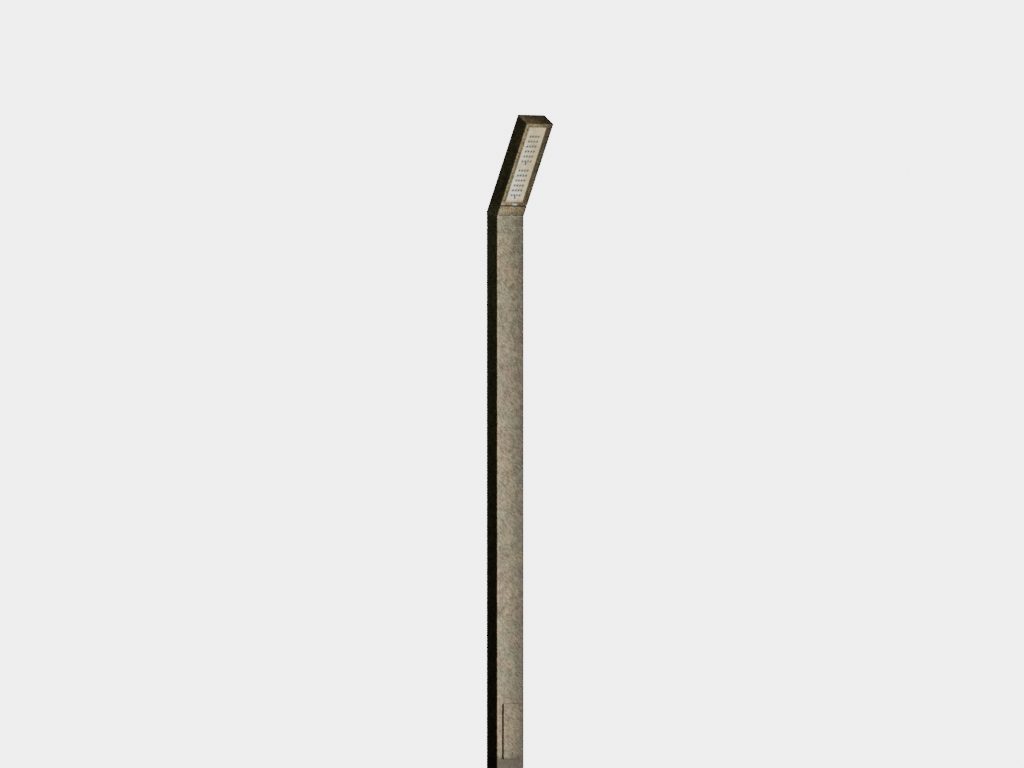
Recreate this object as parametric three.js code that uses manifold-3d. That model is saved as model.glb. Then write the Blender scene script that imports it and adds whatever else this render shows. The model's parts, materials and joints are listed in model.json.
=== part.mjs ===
// Street lamp post: a rectangular hollow post with a mitred, forward-leaning LED head.
// Millimetres, +Z up, front towards -Y. The origin is on the post's axis at the underside
// of the base plate. Inside the head group, Y is the depth from the head's front face
// and Z is the distance from the bend along that face.
import * as THREE from 'three';
import { mergeVertices } from 'three/addons/utils/BufferGeometryUtils.js';
import Module from 'manifold-3d';

const wasm = await Module();
wasm.setup();

// Overall sizes
const TOTAL_HEIGHT = 4500;
const POST_WIDTH = 200;
const POST_DEPTH = 120;
const POST_WALL = 5;
const CORNER_RADIUS = 7;
const HEAD_LENGTH = 646;
const HEAD_LEAN = THREE.MathUtils.degToRad(30);

// Clearances
const FIT_GAP = 0.3;
const SEAM_GAP = 1.5;
const HOLE_CLEARANCE = 0.4;
// How far a cut runs past the face it opens, and a joined solid into its neighbour.
const OVERRUN = 1;
// Free air between the end of a cable and the piece it leads to.
const CABLE_END_GAP = 0.5;
const HEXAGON = 6;
const ROUND_SIDES = 16;
// three.js draws an arc with twice this many sides
const ARC_STEPS = 2;

// Elbow: leg length on each side of the bend, measured on the front face
const COLLAR = 69;
const COLLAR_END_WALL = 4;
const SPIGOT_WALL = 5;
const SPIGOT_INNER_RADIUS = 1;
const SPIGOT_BELOW = 150;
const SPIGOT_ABOVE = 55;
const SET_SCREW_RISE = 13;
const SET_SCREW_SPREAD = 27;
const SET_SCREW_RADIUS = 4;
const SET_SCREW_HEAD_RADIUS = 6;
const SET_SCREW_HEAD_TAPER = 1;
const SET_SCREW_HEAD_HEIGHT = 3;

// Foot
const PLATE_SIZE = 400;
const PLATE_THICKNESS = 20;
const PLATE_CORNER_RADIUS = 12;
const BOLT_EDGE_DISTANCE = 50;
const BOLT_HOLE_RADIUS = 13;
const CABLE_HOLE_RADIUS = 25;
const CABLE_HOLE_OFFSET = 48;
const GUSSET_HEIGHT = 120;
const GUSSET_THICKNESS = 8;
const GUSSET_NOSE = 10;
const GUSSET_EDGE_DISTANCE = 20;

// Service door
const DOOR_CENTRE = 717.5;
const DOOR_WIDTH = 124;
const DOOR_HEIGHT = 341;
const DOOR_PROUD = 16;
const DOOR_WALL = 3;
const DOOR_CORNER_RADIUS = 8;
const DOOR_EDGE_ROUND = 3;
const DOOR_SIDE_LAP = 14.5;
const DOOR_END_LAP = 20.5;
const DOOR_OPENING_RADIUS = 14;
const DOOR_GASKET_WIDTH = 8;
const DOOR_GASKET_THICKNESS = 3.4;
const DOOR_SCREW_RADIUS = 4;
const DOOR_SCREW_HEAD_RADIUS = 6.5;
const DOOR_SCREW_HEAD_HEIGHT = 3;
const DOOR_SCREW_BOSS_RADIUS = 10;
const DOOR_BOSS_GAP = 3;
const DOOR_KEY_DEPTH = 2;
const DOOR_KEY_SIDES = 3;
const DOOR_SCREW_END_DISTANCE = 12;
const BRIDGE_OVERLAP = 10;
const BRIDGE_HEIGHT = 22;
const BRIDGE_THICKNESS = 4;
const BRIDGE_SCREW_PROJECTION = 5;

// Equipment behind the door
const BOARD_WIDTH = 84;
const BOARD_THICKNESS = 4;
const BOARD_END_MARGIN = 8;
const FUSE_BOX_WIDTH = 64;
const FUSE_BOX_HEIGHT = 120;
const FUSE_BOX_DEPTH = 47;
const FUSE_BOX_TOP_MARGIN = 20;
const CARRIER_WIDTH = 25;
const CARRIER_HEIGHT = 43;
const CARRIER_DEPTH = 30;
const CARRIER_PROJECTION = 9;
const CARRIER_GRIP = 6;
const CARRIER_GRIP_MARGIN = 3.5;
const CARRIER_GRIP_RADIUS = 3;
const FUSE_RADIUS = 5;
const FUSE_LENGTH = 34;
const FUSE_SEGMENTS = 12;
const FUSE_ROOM = 1;
const FUSE_SET_BACK = 2;
const TERMINAL_WIDTH = 60;
const TERMINAL_HEIGHT = 72;
const TERMINAL_DEPTH = 22;
const TERMINAL_POLES = 4;
const TERMINAL_BOTTOM_MARGIN = 37;
const EARTH_STUD_RADIUS = 4;
const EARTH_STUD_LENGTH = 27;
const EARTH_NUT_RADIUS = 7.5;
const EARTH_NUT_THICKNESS = 6;
const EARTH_LEAD_RADIUS = 3;
// Run of the earth lead: heights above the stud, bows towards the door and reaches along the width.
const EARTH_LEAD_RUN = {
  startHeight: 20, startReach: 12, middleHeight: 17, middleBow: 8,
  endHeight: 11, endBow: 20, endReach: 4, tailHeight: 7, tailGap: 6,
};
const RISER_RADIUS = 5;
const RISER_FROM_WALL = 31;
const RISER_BEND_LEG = 60;
const RISER_BEND_BOW = 4;
const RISER_LOWER_STRAIGHT = 150;
const RISER_BELOW_GLAND = 2;
const RISER_ABOVE_GLAND = 25;
const CABLE_ARC_STEPS = 4;

// Head shell
const LID_DEPTH = 40;
const FLANGE_DEPTH = 4;
const FLANGE_THICKNESS = 3;
const FLANGE_SIDE_WIDTH = 14;
const FLANGE_TIP_WIDTH = 20;
const FLANGE_FOOT_END = 34;
const GASKET_WIDTH = 6;
const GASKET_INSET = 6;
const GASKET_FOOT_GAP = 3;
const GASKET_TIP_GAP = 1.5;
const GASKET_CORNER_RADIUS = 7;
const BULKHEAD_THICKNESS = 3;
const BULKHEAD_MARGIN = 2;
const GLAND_THREAD_RADIUS = 10;
const GLAND_HEX_RADIUS = 15;
const GLAND_HEX_LENGTH = 7;
const GLAND_THREAD_LENGTH = 15;
const GLAND_FROM_BACK = 30;
const VENT_RADIUS = 6;
const VENT_OFFSET = 50;
const VENT_CAP_HEIGHT = 5;
const VENT_CAP_MARGIN = 3;
const VENT_PLUG_DEPTH = 8;

// Head gear
const TRAY_THICKNESS = 2;
const TRAY_STAND = 6;
const TRAY_SIDE_MARGIN = 10;
const DRIVER_SIZE = { width: 60, depth: 38, length: 230 };
const SURGE_SIZE = { width: 40, depth: 40, length: 60 };
const HEAD_TERMINAL_SIZE = { width: 50, depth: 26, length: 40 };
const HEAD_TERMINAL_GAP = 15;
const GEAR_SIDE_MARGIN = 20;
const GEAR_CORNER_RADIUS = 3;
const GEAR_FOOT_MARGIN = 26;
const ISOLATOR_SIZE = { width: 40, length: 30 };
const ISOLATOR_OFFSET = 35;
const ISOLATOR_PLUG_MARGIN = 5;

// Lid
const LID_WALL = 3.5;
const LID_FRONT = 4;
const LID_GAP = 8.5;
const RIM_SIDE = 30;
const RIM_TIP = 25;
const RIM_FOOT = 20;
const FRAME_RIM = 16;
const FRAME_RIM_FOOT = 13;
const BEZEL_THICKNESS = 1.9;
const BEZEL_GROOVE = 1.8;
const LEDGE_SETBACK = { side: 6, foot: 2, tip: 3 };
const GLASS_THICKNESS = 4;
const GLASS_OVERLAP = 3;
const GLASS_GASKET_THICKNESS = 1.5;
const GLASS_GASKET_WIDTH = 2.6;
const GLASS_CORNER_RADIUS = 2;
const BEZEL_CORNER_RADIUS = 3;
const FRAME_OPENING_RADIUS = 4;
const PANEL_CORNER_RADIUS = 3;
const BOARD_CORNER_RADIUS = 2;
const STEM_CLEARANCE = 0.7;
const LENS_ROOT = 0.5;
const LENS_SIDES = 8;
const KEY_RADIUS = 2.6;
const KEY_FLOOR = 0.5;
const LID_SCREW_HOLE_MARGIN = 1;
const HINGE_DEPTH = 11;
const HINGE_FROM_END = 8;
const HINGE_ROD_RADIUS = 3;
const HINGE_KNUCKLE_RADIUS = 5.5;
const HINGE_OFFSET = 60;
const HINGE_ARM_WIDTH = 8;
const HINGE_ARM_THICKNESS = 9;
const HINGE_FOOT_WIDTH = 24;
const HINGE_FOOT_LENGTH = 16;
const HINGE_FOOT_THICKNESS = 2.8;
const HINGE_FOOT_SHIFT = 1;
const HINGE_NOTCH_MARGIN = 2;
const HINGE_SIDE_CLEARANCE = 1.5;
const HINGE_EAR_THICKNESS = 4;
const HINGE_EAR_RISE = 1;
const HINGE_HEAD_RADIUS = 4.4;
const HINGE_HEAD_LENGTH = 3;
const LID_SCREW_RADIUS = 3;
const LID_SCREW_HEAD_RADIUS = 5;
const LID_SCREW_HEAD_HEIGHT = 2.3;
const LID_SCREW_SIDE = 20;
const LID_SCREW_FROM_TIP = 11.5;
const LID_SCREW_BOSS_RADIUS = 6.5;
const LID_SCREW_BOSS_LENGTH = 8;
const LID_SCREW_PROJECTION = 3;
const NAME_PLATE = { width: 34, height: 11, thickness: 0.9, margin: 1.5, radius: 1.5 };

// LED unit in the lid
const UNIT_WALL = 2;
const UNIT_FLOOR_DEPTH = 31;
const UNIT_FLANGE_THICKNESS = 3;
const PANEL_DEPTH = 19;
const PANEL_GROOVE = 3.5;
const PANEL_WALL = 1.5;
const LED_ROWS = 6;
const LED_COLUMNS = 4;
const LED_COLUMN_PITCH = 20;
const LED_WINDOW = 15.4;
const FIRST_ROW_MARGIN = 39.8;
const LAST_ROW_MARGIN = 72.3;
const MODULE_GAP = 63.9;
const BOARD_LED_THICKNESS = 1.6;
const BOARD_LED_WIDTH = 84;
const BOARD_LED_FOOT = 28;
const BOARD_LED_TIP = 12;
const LENS_BASE_THICKNESS = 1.5;
const LENS_MARGIN = 7;
const LENS_HEIGHT = 4;
const LENS_FOOT_RADIUS = 6.2;
const LENS_TOP_RADIUS = 4.2;
const STEM_WIDTH = 11;
const STEM_LENGTH = 18;
const STEM_DEPTH = 18;

// Derived places
const BEND_HEIGHT = TOTAL_HEIGHT - HEAD_LENGTH * Math.cos(HEAD_LEAN) - POST_DEPTH * Math.sin(HEAD_LEAN);
const MITRE = HEAD_LEAN / 2;
const HALF_WIDTH = POST_WIDTH / 2;
const HALF_DEPTH = POST_DEPTH / 2;
const INNER_HALF_WIDTH = HALF_WIDTH - POST_WALL;
const INNER_HALF_DEPTH = HALF_DEPTH - POST_WALL;
const INNER_RADIUS = Math.max(CORNER_RADIUS - POST_WALL, 1);
const GLAND_DEPTH = POST_DEPTH - GLAND_FROM_BACK;
const RISER_DEPTH_IN_POST = INNER_HALF_DEPTH - RISER_FROM_WALL;
const LID_FOOT = COLLAR + LID_GAP;
const WINDOW_FOOT = LID_FOOT + RIM_FOOT;
const WINDOW_TIP = HEAD_LENGTH - RIM_TIP;
const WINDOW_HALF_WIDTH = HALF_WIDTH - RIM_SIDE;
const LID_BACK = LID_DEPTH - SEAM_GAP / 2;
const SHELL_RIM = LID_DEPTH + SEAM_GAP / 2;
const FLANGE_FRONT = LID_DEPTH + FLANGE_DEPTH;
const FLANGE_BACK = FLANGE_FRONT + FLANGE_THICKNESS;
const FLANGE_FOOT = COLLAR + FLANGE_FOOT_END;
const SHELL_TIP_WALL = HEAD_LENGTH - POST_WALL;
const SHELL_INNER_BACK = POST_DEPTH - POST_WALL;
const TRAY_BACK = SHELL_INNER_BACK - TRAY_STAND;
const GEAR_BACK = TRAY_BACK - TRAY_THICKNESS - FIT_GAP;
const HINGE_PLACE = LID_FOOT + HINGE_FROM_END;
const LID_SCREW_PLACE = HEAD_LENGTH - LID_SCREW_FROM_TIP;
const LID_SCREW_X = HALF_WIDTH - LID_SCREW_SIDE;
const FRAME_HALF_OPENING = HALF_WIDTH - FRAME_RIM;
const FRAME_OPENING_FOOT = LID_FOOT + FRAME_RIM_FOOT;
const FRAME_OPENING_TIP = HEAD_LENGTH - FRAME_RIM;
const LEDGE_HALF_OPENING = WINDOW_HALF_WIDTH + LEDGE_SETBACK.side;
const LEDGE_FOOT = WINDOW_FOOT - LEDGE_SETBACK.foot;
const LEDGE_TIP = WINDOW_TIP + LEDGE_SETBACK.tip;
const GLASS_HALF_WIDTH = LEDGE_HALF_OPENING + GLASS_OVERLAP;
const GLASS_FOOT = LEDGE_FOOT - GLASS_OVERLAP;
const GLASS_TIP = LEDGE_TIP + GLASS_OVERLAP;
const GLASS_FRONT = LID_FRONT + GLASS_GASKET_THICKNESS + 2 * FIT_GAP;
const GLASS_BACK = GLASS_FRONT + GLASS_THICKNESS;
const PANEL_HALF_WIDTH = WINDOW_HALF_WIDTH - PANEL_GROOVE;
const PANEL_FOOT = WINDOW_FOOT + PANEL_GROOVE;
const PANEL_TIP = WINDOW_TIP - PANEL_GROOVE;
const UNIT_TOP = UNIT_FLOOR_DEPTH - FIT_GAP;
const ROW_SPACE = WINDOW_TIP - WINDOW_FOOT - FIRST_ROW_MARGIN - LAST_ROW_MARGIN - MODULE_GAP;
const ROW_PITCH = ROW_SPACE / (2 * (LED_ROWS - 1));
const MODULE_SPAN = ROW_PITCH * (LED_ROWS - 1);
const MODULE_STARTS = {
  lower: WINDOW_FOOT + FIRST_ROW_MARGIN,
  upper: WINDOW_FOOT + FIRST_ROW_MARGIN + MODULE_SPAN + MODULE_GAP,
};
const LENS_BACK = UNIT_TOP - BOARD_LED_THICKNESS - FIT_GAP;
const DOOR_FRONT = -HALF_DEPTH - DOOR_PROUD;
const DOOR_OPENING_WIDTH = DOOR_WIDTH - 2 * DOOR_SIDE_LAP;
const DOOR_OPENING_HEIGHT = DOOR_HEIGHT - 2 * DOOR_END_LAP;
const DOOR_SCREW_REACH = DOOR_OPENING_HEIGHT / 2 - DOOR_SCREW_END_DISTANCE;
const BOARD_FRONT = INNER_HALF_DEPTH - FIT_GAP - BOARD_THICKNESS;
const EQUIPMENT_BACK = BOARD_FRONT - FIT_GAP;
const FUSE_BOX_TOP = DOOR_CENTRE + DOOR_OPENING_HEIGHT / 2 - FUSE_BOX_TOP_MARGIN;
const FUSE_BOX_FRONT = EQUIPMENT_BACK - FUSE_BOX_DEPTH;
const CARRIER_CENTRE = FUSE_BOX_TOP - FUSE_BOX_HEIGHT / 2;
const TERMINAL_BOTTOM = DOOR_CENTRE - DOOR_OPENING_HEIGHT / 2 + TERMINAL_BOTTOM_MARGIN;

function paint(color, roughness, metalness) {
  return new THREE.MeshStandardMaterial({ color, roughness, metalness });
}

const FINISH = {
  coated: paint(0x8a7f6c, 0.75, 0.2),
  galvanised: paint(0x9a9c98, 0.5, 0.8),
  steel: paint(0xb4b6b6, 0.35, 1),
  rubber: paint(0x1b1c1b, 0.85, 0),
  plastic: paint(0x3c4146, 0.6, 0),
  palePlastic: paint(0xc9c9c2, 0.6, 0),
  panel: paint(0xc8bda4, 0.55, 0),
  board: paint(0xe2e4dd, 0.5, 0),
  lens: paint(0xa4a8a8, 0.15, 0),
  glass: paint(0xdfe8ea, 0.05, 0),
  cable: paint(0x232323, 0.7, 0),
  earth: paint(0x6f8f3a, 0.7, 0),
};

// Turns a closed three.js geometry into a solid that can be joined and cut.
function toSolid(geometry) {
  const bare = geometry.clone();
  bare.deleteAttribute('normal');
  bare.deleteAttribute('uv');
  const merged = mergeVertices(bare, 1e-4);
  return new wasm.Manifold(new wasm.Mesh({
    numProp: 3,
    vertProperties: merged.attributes.position.array,
    triVerts: new Uint32Array(merged.index.array),
  }));
}

// Adds a solid to a group as a named mesh.
function addPart(group, name, solid, finish) {
  const { vertProperties, triVerts } = solid.getMesh();
  const geometry = new THREE.BufferGeometry();
  geometry.setAttribute('position', new THREE.BufferAttribute(vertProperties, 3));
  geometry.setIndex(new THREE.BufferAttribute(triVerts, 1));
  const mesh = new THREE.Mesh(geometry, finish);
  mesh.name = name;
  group.add(mesh);
}

// Box between two values on each axis.
function block(x0, x1, y0, y1, z0, z1) {
  const geometry = new THREE.BoxGeometry(x1 - x0, y1 - y0, z1 - z0);
  geometry.translate((x0 + x1) / 2, (y0 + y1) / 2, (z0 + z1) / 2);
  return toSolid(geometry);
}

// Cylinder or cone between two points.
function round(start, end, startRadius, endRadius = startRadius, sides = ROUND_SIDES) {
  const from = new THREE.Vector3(...start);
  const along = new THREE.Vector3(...end).sub(from);
  const length = along.length();
  const geometry = new THREE.CylinderGeometry(endRadius, startRadius, length, sides);
  geometry.translate(0, length / 2, 0);
  const turn = new THREE.Quaternion().setFromUnitVectors(new THREE.Vector3(0, 1, 0), along.normalize());
  geometry.applyQuaternion(turn);
  geometry.translate(from.x, from.y, from.z);
  return toSolid(geometry);
}

// Rectangle with rounded corners, centred on its origin.
function roundedOutline(width, height, radius) {
  const outline = new THREE.Shape();
  const x = width / 2 - radius;
  const y = height / 2 - radius;
  outline.absarc(x, y, radius, 0, Math.PI / 2);
  outline.absarc(-x, y, radius, Math.PI / 2, Math.PI);
  outline.absarc(-x, -y, radius, Math.PI, 1.5 * Math.PI);
  outline.absarc(x, -y, radius, 1.5 * Math.PI, 2 * Math.PI);
  return outline;
}

// Upright bar of rounded-rectangle section.
function prism(width, depth, radius, z0, z1, yCentre = 0) {
  const options = { depth: z1 - z0, bevelEnabled: false, curveSegments: ARC_STEPS };
  const geometry = new THREE.ExtrudeGeometry(roundedOutline(width, depth, radius), options);
  geometry.translate(0, yCentre, z0);
  return toSolid(geometry);
}

// Plate of rounded-rectangle outline that faces along Y, with its long side on Z.
function slab(halfWidth, z0, z1, radius, y0, y1, xCentre = 0) {
  const options = { depth: y1 - y0, bevelEnabled: false, curveSegments: ARC_STEPS };
  const outline = roundedOutline(2 * halfWidth, z1 - z0, radius);
  const geometry = new THREE.ExtrudeGeometry(outline, options);
  geometry.rotateX(Math.PI / 2);
  geometry.translate(xCentre, y1, (z0 + z1) / 2);
  return toSolid(geometry);
}

// Rectangular ring that faces along Y.
function ring(halfWidth, z0, z1, width, radius, y0, y1) {
  const outer = slab(halfWidth, z0, z1, radius, y0, y1);
  const innerRadius = Math.max(radius - width, 1);
  const inner = slab(halfWidth - width, z0 + width, z1 - width, innerRadius, y0 - OVERRUN, y1 + OVERRUN);
  return outer.subtract(inner);
}

// Large block on one side of a plane that holds the X direction and is tilted about it.
function beyondPlane(y, z, tilt, side) {
  const size = 4 * POST_WIDTH;
  const geometry = new THREE.BoxGeometry(size, size, size);
  geometry.translate(0, 0, side * (size / 2 + FIT_GAP / 2));
  geometry.rotateX(tilt);
  geometry.translate(0, y, z);
  return toSolid(geometry);
}

// A curve through chosen points that gives each span between them the same number of steps.
class RouteCurve extends THREE.CatmullRomCurve3 {
  getUtoTmapping(u) {
    return u;
  }
}

function cable(points, radius, stepsPerSpan) {
  const route = new RouteCurve(points, false, 'centripetal');
  const section = new THREE.Shape();
  section.absarc(0, 0, radius, 0, 2 * Math.PI);
  const geometry = new THREE.ExtrudeGeometry(section, {
    extrudePath: route,
    steps: stepsPerSpan * (points.length - 1),
    curveSegments: CABLE_ARC_STEPS,
  });
  return toSolid(geometry);
}

// Point of the head group in the post's frame.
function fromHead(x, depth, along) {
  const y = -HALF_DEPTH + depth * Math.cos(HEAD_LEAN) - along * Math.sin(HEAD_LEAN);
  const z = BEND_HEIGHT + depth * Math.sin(HEAD_LEAN) + along * Math.cos(HEAD_LEAN);
  return new THREE.Vector3(x, y, z);
}

function tubeBetween(z0, z1) {
  const outer = prism(POST_WIDTH, POST_DEPTH, CORNER_RADIUS, z0, z1);
  const bore = prism(2 * INNER_HALF_WIDTH, 2 * INNER_HALF_DEPTH, INNER_RADIUS, z0 - OVERRUN,
    z1 + OVERRUN);
  return outer.subtract(bore);
}

function basePlate() {
  let plate = prism(PLATE_SIZE, PLATE_SIZE, PLATE_CORNER_RADIUS, 0, PLATE_THICKNESS);
  const reach = PLATE_SIZE / 2 - BOLT_EDGE_DISTANCE;
  for (const x of [-reach, reach]) {
    for (const y of [-reach, reach]) {
      plate = plate.subtract(round([x, y, -OVERRUN], [x, y, PLATE_THICKNESS + OVERRUN],
        BOLT_HOLE_RADIUS));
    }
    const hole = Math.sign(x) * CABLE_HOLE_OFFSET;
    plate = plate.subtract(round([hole, 0, -OVERRUN], [hole, 0, PLATE_THICKNESS + OVERRUN],
      CABLE_HOLE_RADIUS));
  }
  return plate;
}

// Triangular rib that stands on the base plate and runs out from a face of the post.
function gusset(faceDistance, heading) {
  const start = faceDistance + FIT_GAP;
  const end = PLATE_SIZE / 2 - GUSSET_EDGE_DISTANCE;
  const outline = new THREE.Shape();
  outline.moveTo(start, 0);
  outline.lineTo(end, 0);
  outline.lineTo(end, GUSSET_NOSE);
  outline.lineTo(start + GUSSET_NOSE, GUSSET_HEIGHT);
  outline.lineTo(start, GUSSET_HEIGHT);
  const geometry = new THREE.ExtrudeGeometry(outline, { depth: GUSSET_THICKNESS, bevelEnabled: false });
  geometry.rotateX(Math.PI / 2);
  geometry.translate(0, GUSSET_THICKNESS / 2, PLATE_THICKNESS + FIT_GAP);
  geometry.rotateZ(heading);
  return toSolid(geometry);
}

function buildFoot(group) {
  addPart(group, 'base_plate', basePlate(), FINISH.coated);
  addPart(group, 'gusset_right', gusset(HALF_WIDTH, 0), FINISH.coated);
  addPart(group, 'gusset_back', gusset(HALF_DEPTH, Math.PI / 2), FINISH.coated);
  addPart(group, 'gusset_left', gusset(HALF_WIDTH, Math.PI), FINISH.coated);
  addPart(group, 'gusset_front', gusset(HALF_DEPTH, -Math.PI / 2), FINISH.coated);
}

function postTube() {
  const tube = tubeBetween(PLATE_THICKNESS + FIT_GAP, BEND_HEIGHT - COLLAR - SEAM_GAP / 2);
  const half = DOOR_OPENING_HEIGHT / 2;
  const opening = slab(DOOR_OPENING_WIDTH / 2, DOOR_CENTRE - half, DOOR_CENTRE + half,
    DOOR_OPENING_RADIUS, -HALF_DEPTH - OVERRUN, -INNER_HALF_DEPTH + OVERRUN);
  return tube.subtract(opening);
}

function spigot() {
  const top = BEND_HEIGHT - COLLAR + SPIGOT_ABOVE;
  const bottom = BEND_HEIGHT - COLLAR - SPIGOT_BELOW;
  const width = 2 * (INNER_HALF_WIDTH - FIT_GAP);
  const depth = 2 * (INNER_HALF_DEPTH - FIT_GAP);
  const outer = prism(width, depth, INNER_RADIUS, bottom, top);
  const inner = prism(width - 2 * SPIGOT_WALL, depth - 2 * SPIGOT_WALL, SPIGOT_INNER_RADIUS,
    bottom - OVERRUN,
    top + OVERRUN);
  return outer.subtract(inner);
}

function elbowSleeve() {
  let sleeve = tubeBetween(BEND_HEIGHT - COLLAR + SEAM_GAP / 2, BEND_HEIGHT + POST_DEPTH);
  sleeve = sleeve.subtract(beyondPlane(-HALF_DEPTH, BEND_HEIGHT - FIT_GAP, MITRE, 1));
  for (const place of setScrewPlaces()) {
    const inside = [place.side * (INNER_HALF_WIDTH - OVERRUN), place.y, place.z];
    const outside = [place.side * (HALF_WIDTH + OVERRUN), place.y, place.z];
    sleeve = sleeve.subtract(round(inside, outside, SET_SCREW_RADIUS + HOLE_CLEARANCE));
  }
  return sleeve;
}

function setScrewPlaces() {
  const z = BEND_HEIGHT - COLLAR + SET_SCREW_RISE;
  return [
    { name: 'set_screw_left_front', side: -1, y: -SET_SCREW_SPREAD, z },
    { name: 'set_screw_left_back', side: -1, y: SET_SCREW_SPREAD, z },
    { name: 'set_screw_right_front', side: 1, y: -SET_SCREW_SPREAD, z },
    { name: 'set_screw_right_back', side: 1, y: SET_SCREW_SPREAD, z },
  ];
}

function setScrew({ side, y, z }) {
  const face = side * (HALF_WIDTH + FIT_GAP);
  const top = side * (HALF_WIDTH + FIT_GAP + SET_SCREW_HEAD_HEIGHT);
  const tip = side * INNER_HALF_WIDTH;
  const head = round([face, y, z], [top, y, z], SET_SCREW_HEAD_RADIUS,
    SET_SCREW_HEAD_RADIUS - SET_SCREW_HEAD_TAPER);
  return head.add(round([tip, y, z], [(face + top) / 2, y, z], SET_SCREW_RADIUS));
}

function buildPost(group) {
  addPart(group, 'post_tube', postTube(), FINISH.coated);
  addPart(group, 'spigot', spigot(), FINISH.galvanised);
  addPart(group, 'elbow_sleeve', elbowSleeve(), FINISH.coated);
  for (const place of setScrewPlaces()) {
    addPart(group, place.name, setScrew(place), FINISH.steel);
  }
}

function doorScrewHeights() {
  return { top: DOOR_CENTRE + DOOR_SCREW_REACH, bottom: DOOR_CENTRE - DOOR_SCREW_REACH };
}

// Raised hollow cover with rounded front edges and a boss behind each screw.
function doorCover() {
  const back = -HALF_DEPTH - FIT_GAP;
  const outline = roundedOutline(
    DOOR_WIDTH - 2 * DOOR_EDGE_ROUND, DOOR_HEIGHT - 2 * DOOR_EDGE_ROUND,
    DOOR_CORNER_RADIUS - DOOR_EDGE_ROUND);
  const geometry = new THREE.ExtrudeGeometry(outline, {
    depth: 2 * DOOR_PROUD,
    bevelSize: DOOR_EDGE_ROUND,
    bevelThickness: DOOR_EDGE_ROUND,
    bevelSegments: 3,
    curveSegments: ARC_STEPS,
  });
  geometry.rotateX(Math.PI / 2);
  geometry.translate(0, DOOR_FRONT + DOOR_EDGE_ROUND + 2 * DOOR_PROUD, DOOR_CENTRE);
  const half = DOOR_HEIGHT / 2;
  let cover = toSolid(geometry);
  cover = cover.subtract(block(-DOOR_WIDTH, DOOR_WIDTH, back, back + 4 * DOOR_PROUD,
    DOOR_CENTRE - DOOR_HEIGHT, DOOR_CENTRE + DOOR_HEIGHT));
  cover = cover.subtract(slab(DOOR_WIDTH / 2 - DOOR_WALL, DOOR_CENTRE - half + DOOR_WALL,
    DOOR_CENTRE + half - DOOR_WALL, DOOR_CORNER_RADIUS - DOOR_WALL, DOOR_FRONT + DOOR_WALL,
    back + OVERRUN));
  for (const z of Object.values(doorScrewHeights())) {
    const sinkEnd = DOOR_FRONT + DOOR_SCREW_HEAD_HEIGHT + FIT_GAP;
    cover = cover.add(round([0, DOOR_FRONT + OVERRUN, z], [0, back - DOOR_BOSS_GAP, z],
      DOOR_SCREW_BOSS_RADIUS));
    cover = cover.subtract(round([0, DOOR_FRONT - OVERRUN, z], [0, back, z],
      DOOR_SCREW_RADIUS + HOLE_CLEARANCE));
    cover = cover.subtract(round([0, DOOR_FRONT - OVERRUN, z], [0, sinkEnd, z],
      DOOR_SCREW_HEAD_RADIUS + HOLE_CLEARANCE));
  }
  return cover;
}

function doorGasket() {
  const half = DOOR_HEIGHT / 2 - DOOR_WALL - FIT_GAP;
  const back = -HALF_DEPTH - 2 * FIT_GAP;
  return ring(DOOR_WIDTH / 2 - DOOR_WALL - FIT_GAP, DOOR_CENTRE - half, DOOR_CENTRE + half,
    DOOR_GASKET_WIDTH, DOOR_CORNER_RADIUS - DOOR_WALL, back - DOOR_GASKET_THICKNESS, back);
}

function doorScrew(z) {
  const headEnd = DOOR_FRONT + DOOR_SCREW_HEAD_HEIGHT;
  const tip = -INNER_HALF_DEPTH + FIT_GAP + BRIDGE_THICKNESS + BRIDGE_SCREW_PROJECTION;
  const head = round([0, DOOR_FRONT, z], [0, headEnd, z], DOOR_SCREW_HEAD_RADIUS);
  const shank = round([0, headEnd - OVERRUN, z], [0, tip, z], DOOR_SCREW_RADIUS);
  const key = round([0, DOOR_FRONT - OVERRUN, z], [0, DOOR_FRONT + DOOR_KEY_DEPTH, z],
    DOOR_SCREW_RADIUS, DOOR_SCREW_RADIUS, DOOR_KEY_SIDES);
  return head.add(shank).subtract(key);
}

function doorBridge(z) {
  const half = DOOR_OPENING_WIDTH / 2 + BRIDGE_OVERLAP;
  const front = -INNER_HALF_DEPTH + FIT_GAP;
  const back = front + BRIDGE_THICKNESS;
  const bar = block(-half, half, front, back, z - BRIDGE_HEIGHT / 2, z + BRIDGE_HEIGHT / 2);
  return bar.subtract(round([0, front - OVERRUN, z], [0, back + OVERRUN, z],
    DOOR_SCREW_RADIUS + HOLE_CLEARANCE));
}

function buildDoor(group) {
  addPart(group, 'door_cover', doorCover(), FINISH.coated);
  addPart(group, 'door_gasket', doorGasket(), FINISH.rubber);
  for (const [end, z] of Object.entries(doorScrewHeights())) {
    addPart(group, `door_screw_${end}`, doorScrew(z), FINISH.coated);
    addPart(group, `door_bridge_${end}`, doorBridge(z), FINISH.galvanised);
  }
}

function equipmentBoard() {
  const half = DOOR_OPENING_HEIGHT / 2 - BOARD_END_MARGIN;
  return block(-BOARD_WIDTH / 2, BOARD_WIDTH / 2, BOARD_FRONT, BOARD_FRONT + BOARD_THICKNESS,
    DOOR_CENTRE - half, DOOR_CENTRE + half);
}

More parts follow.
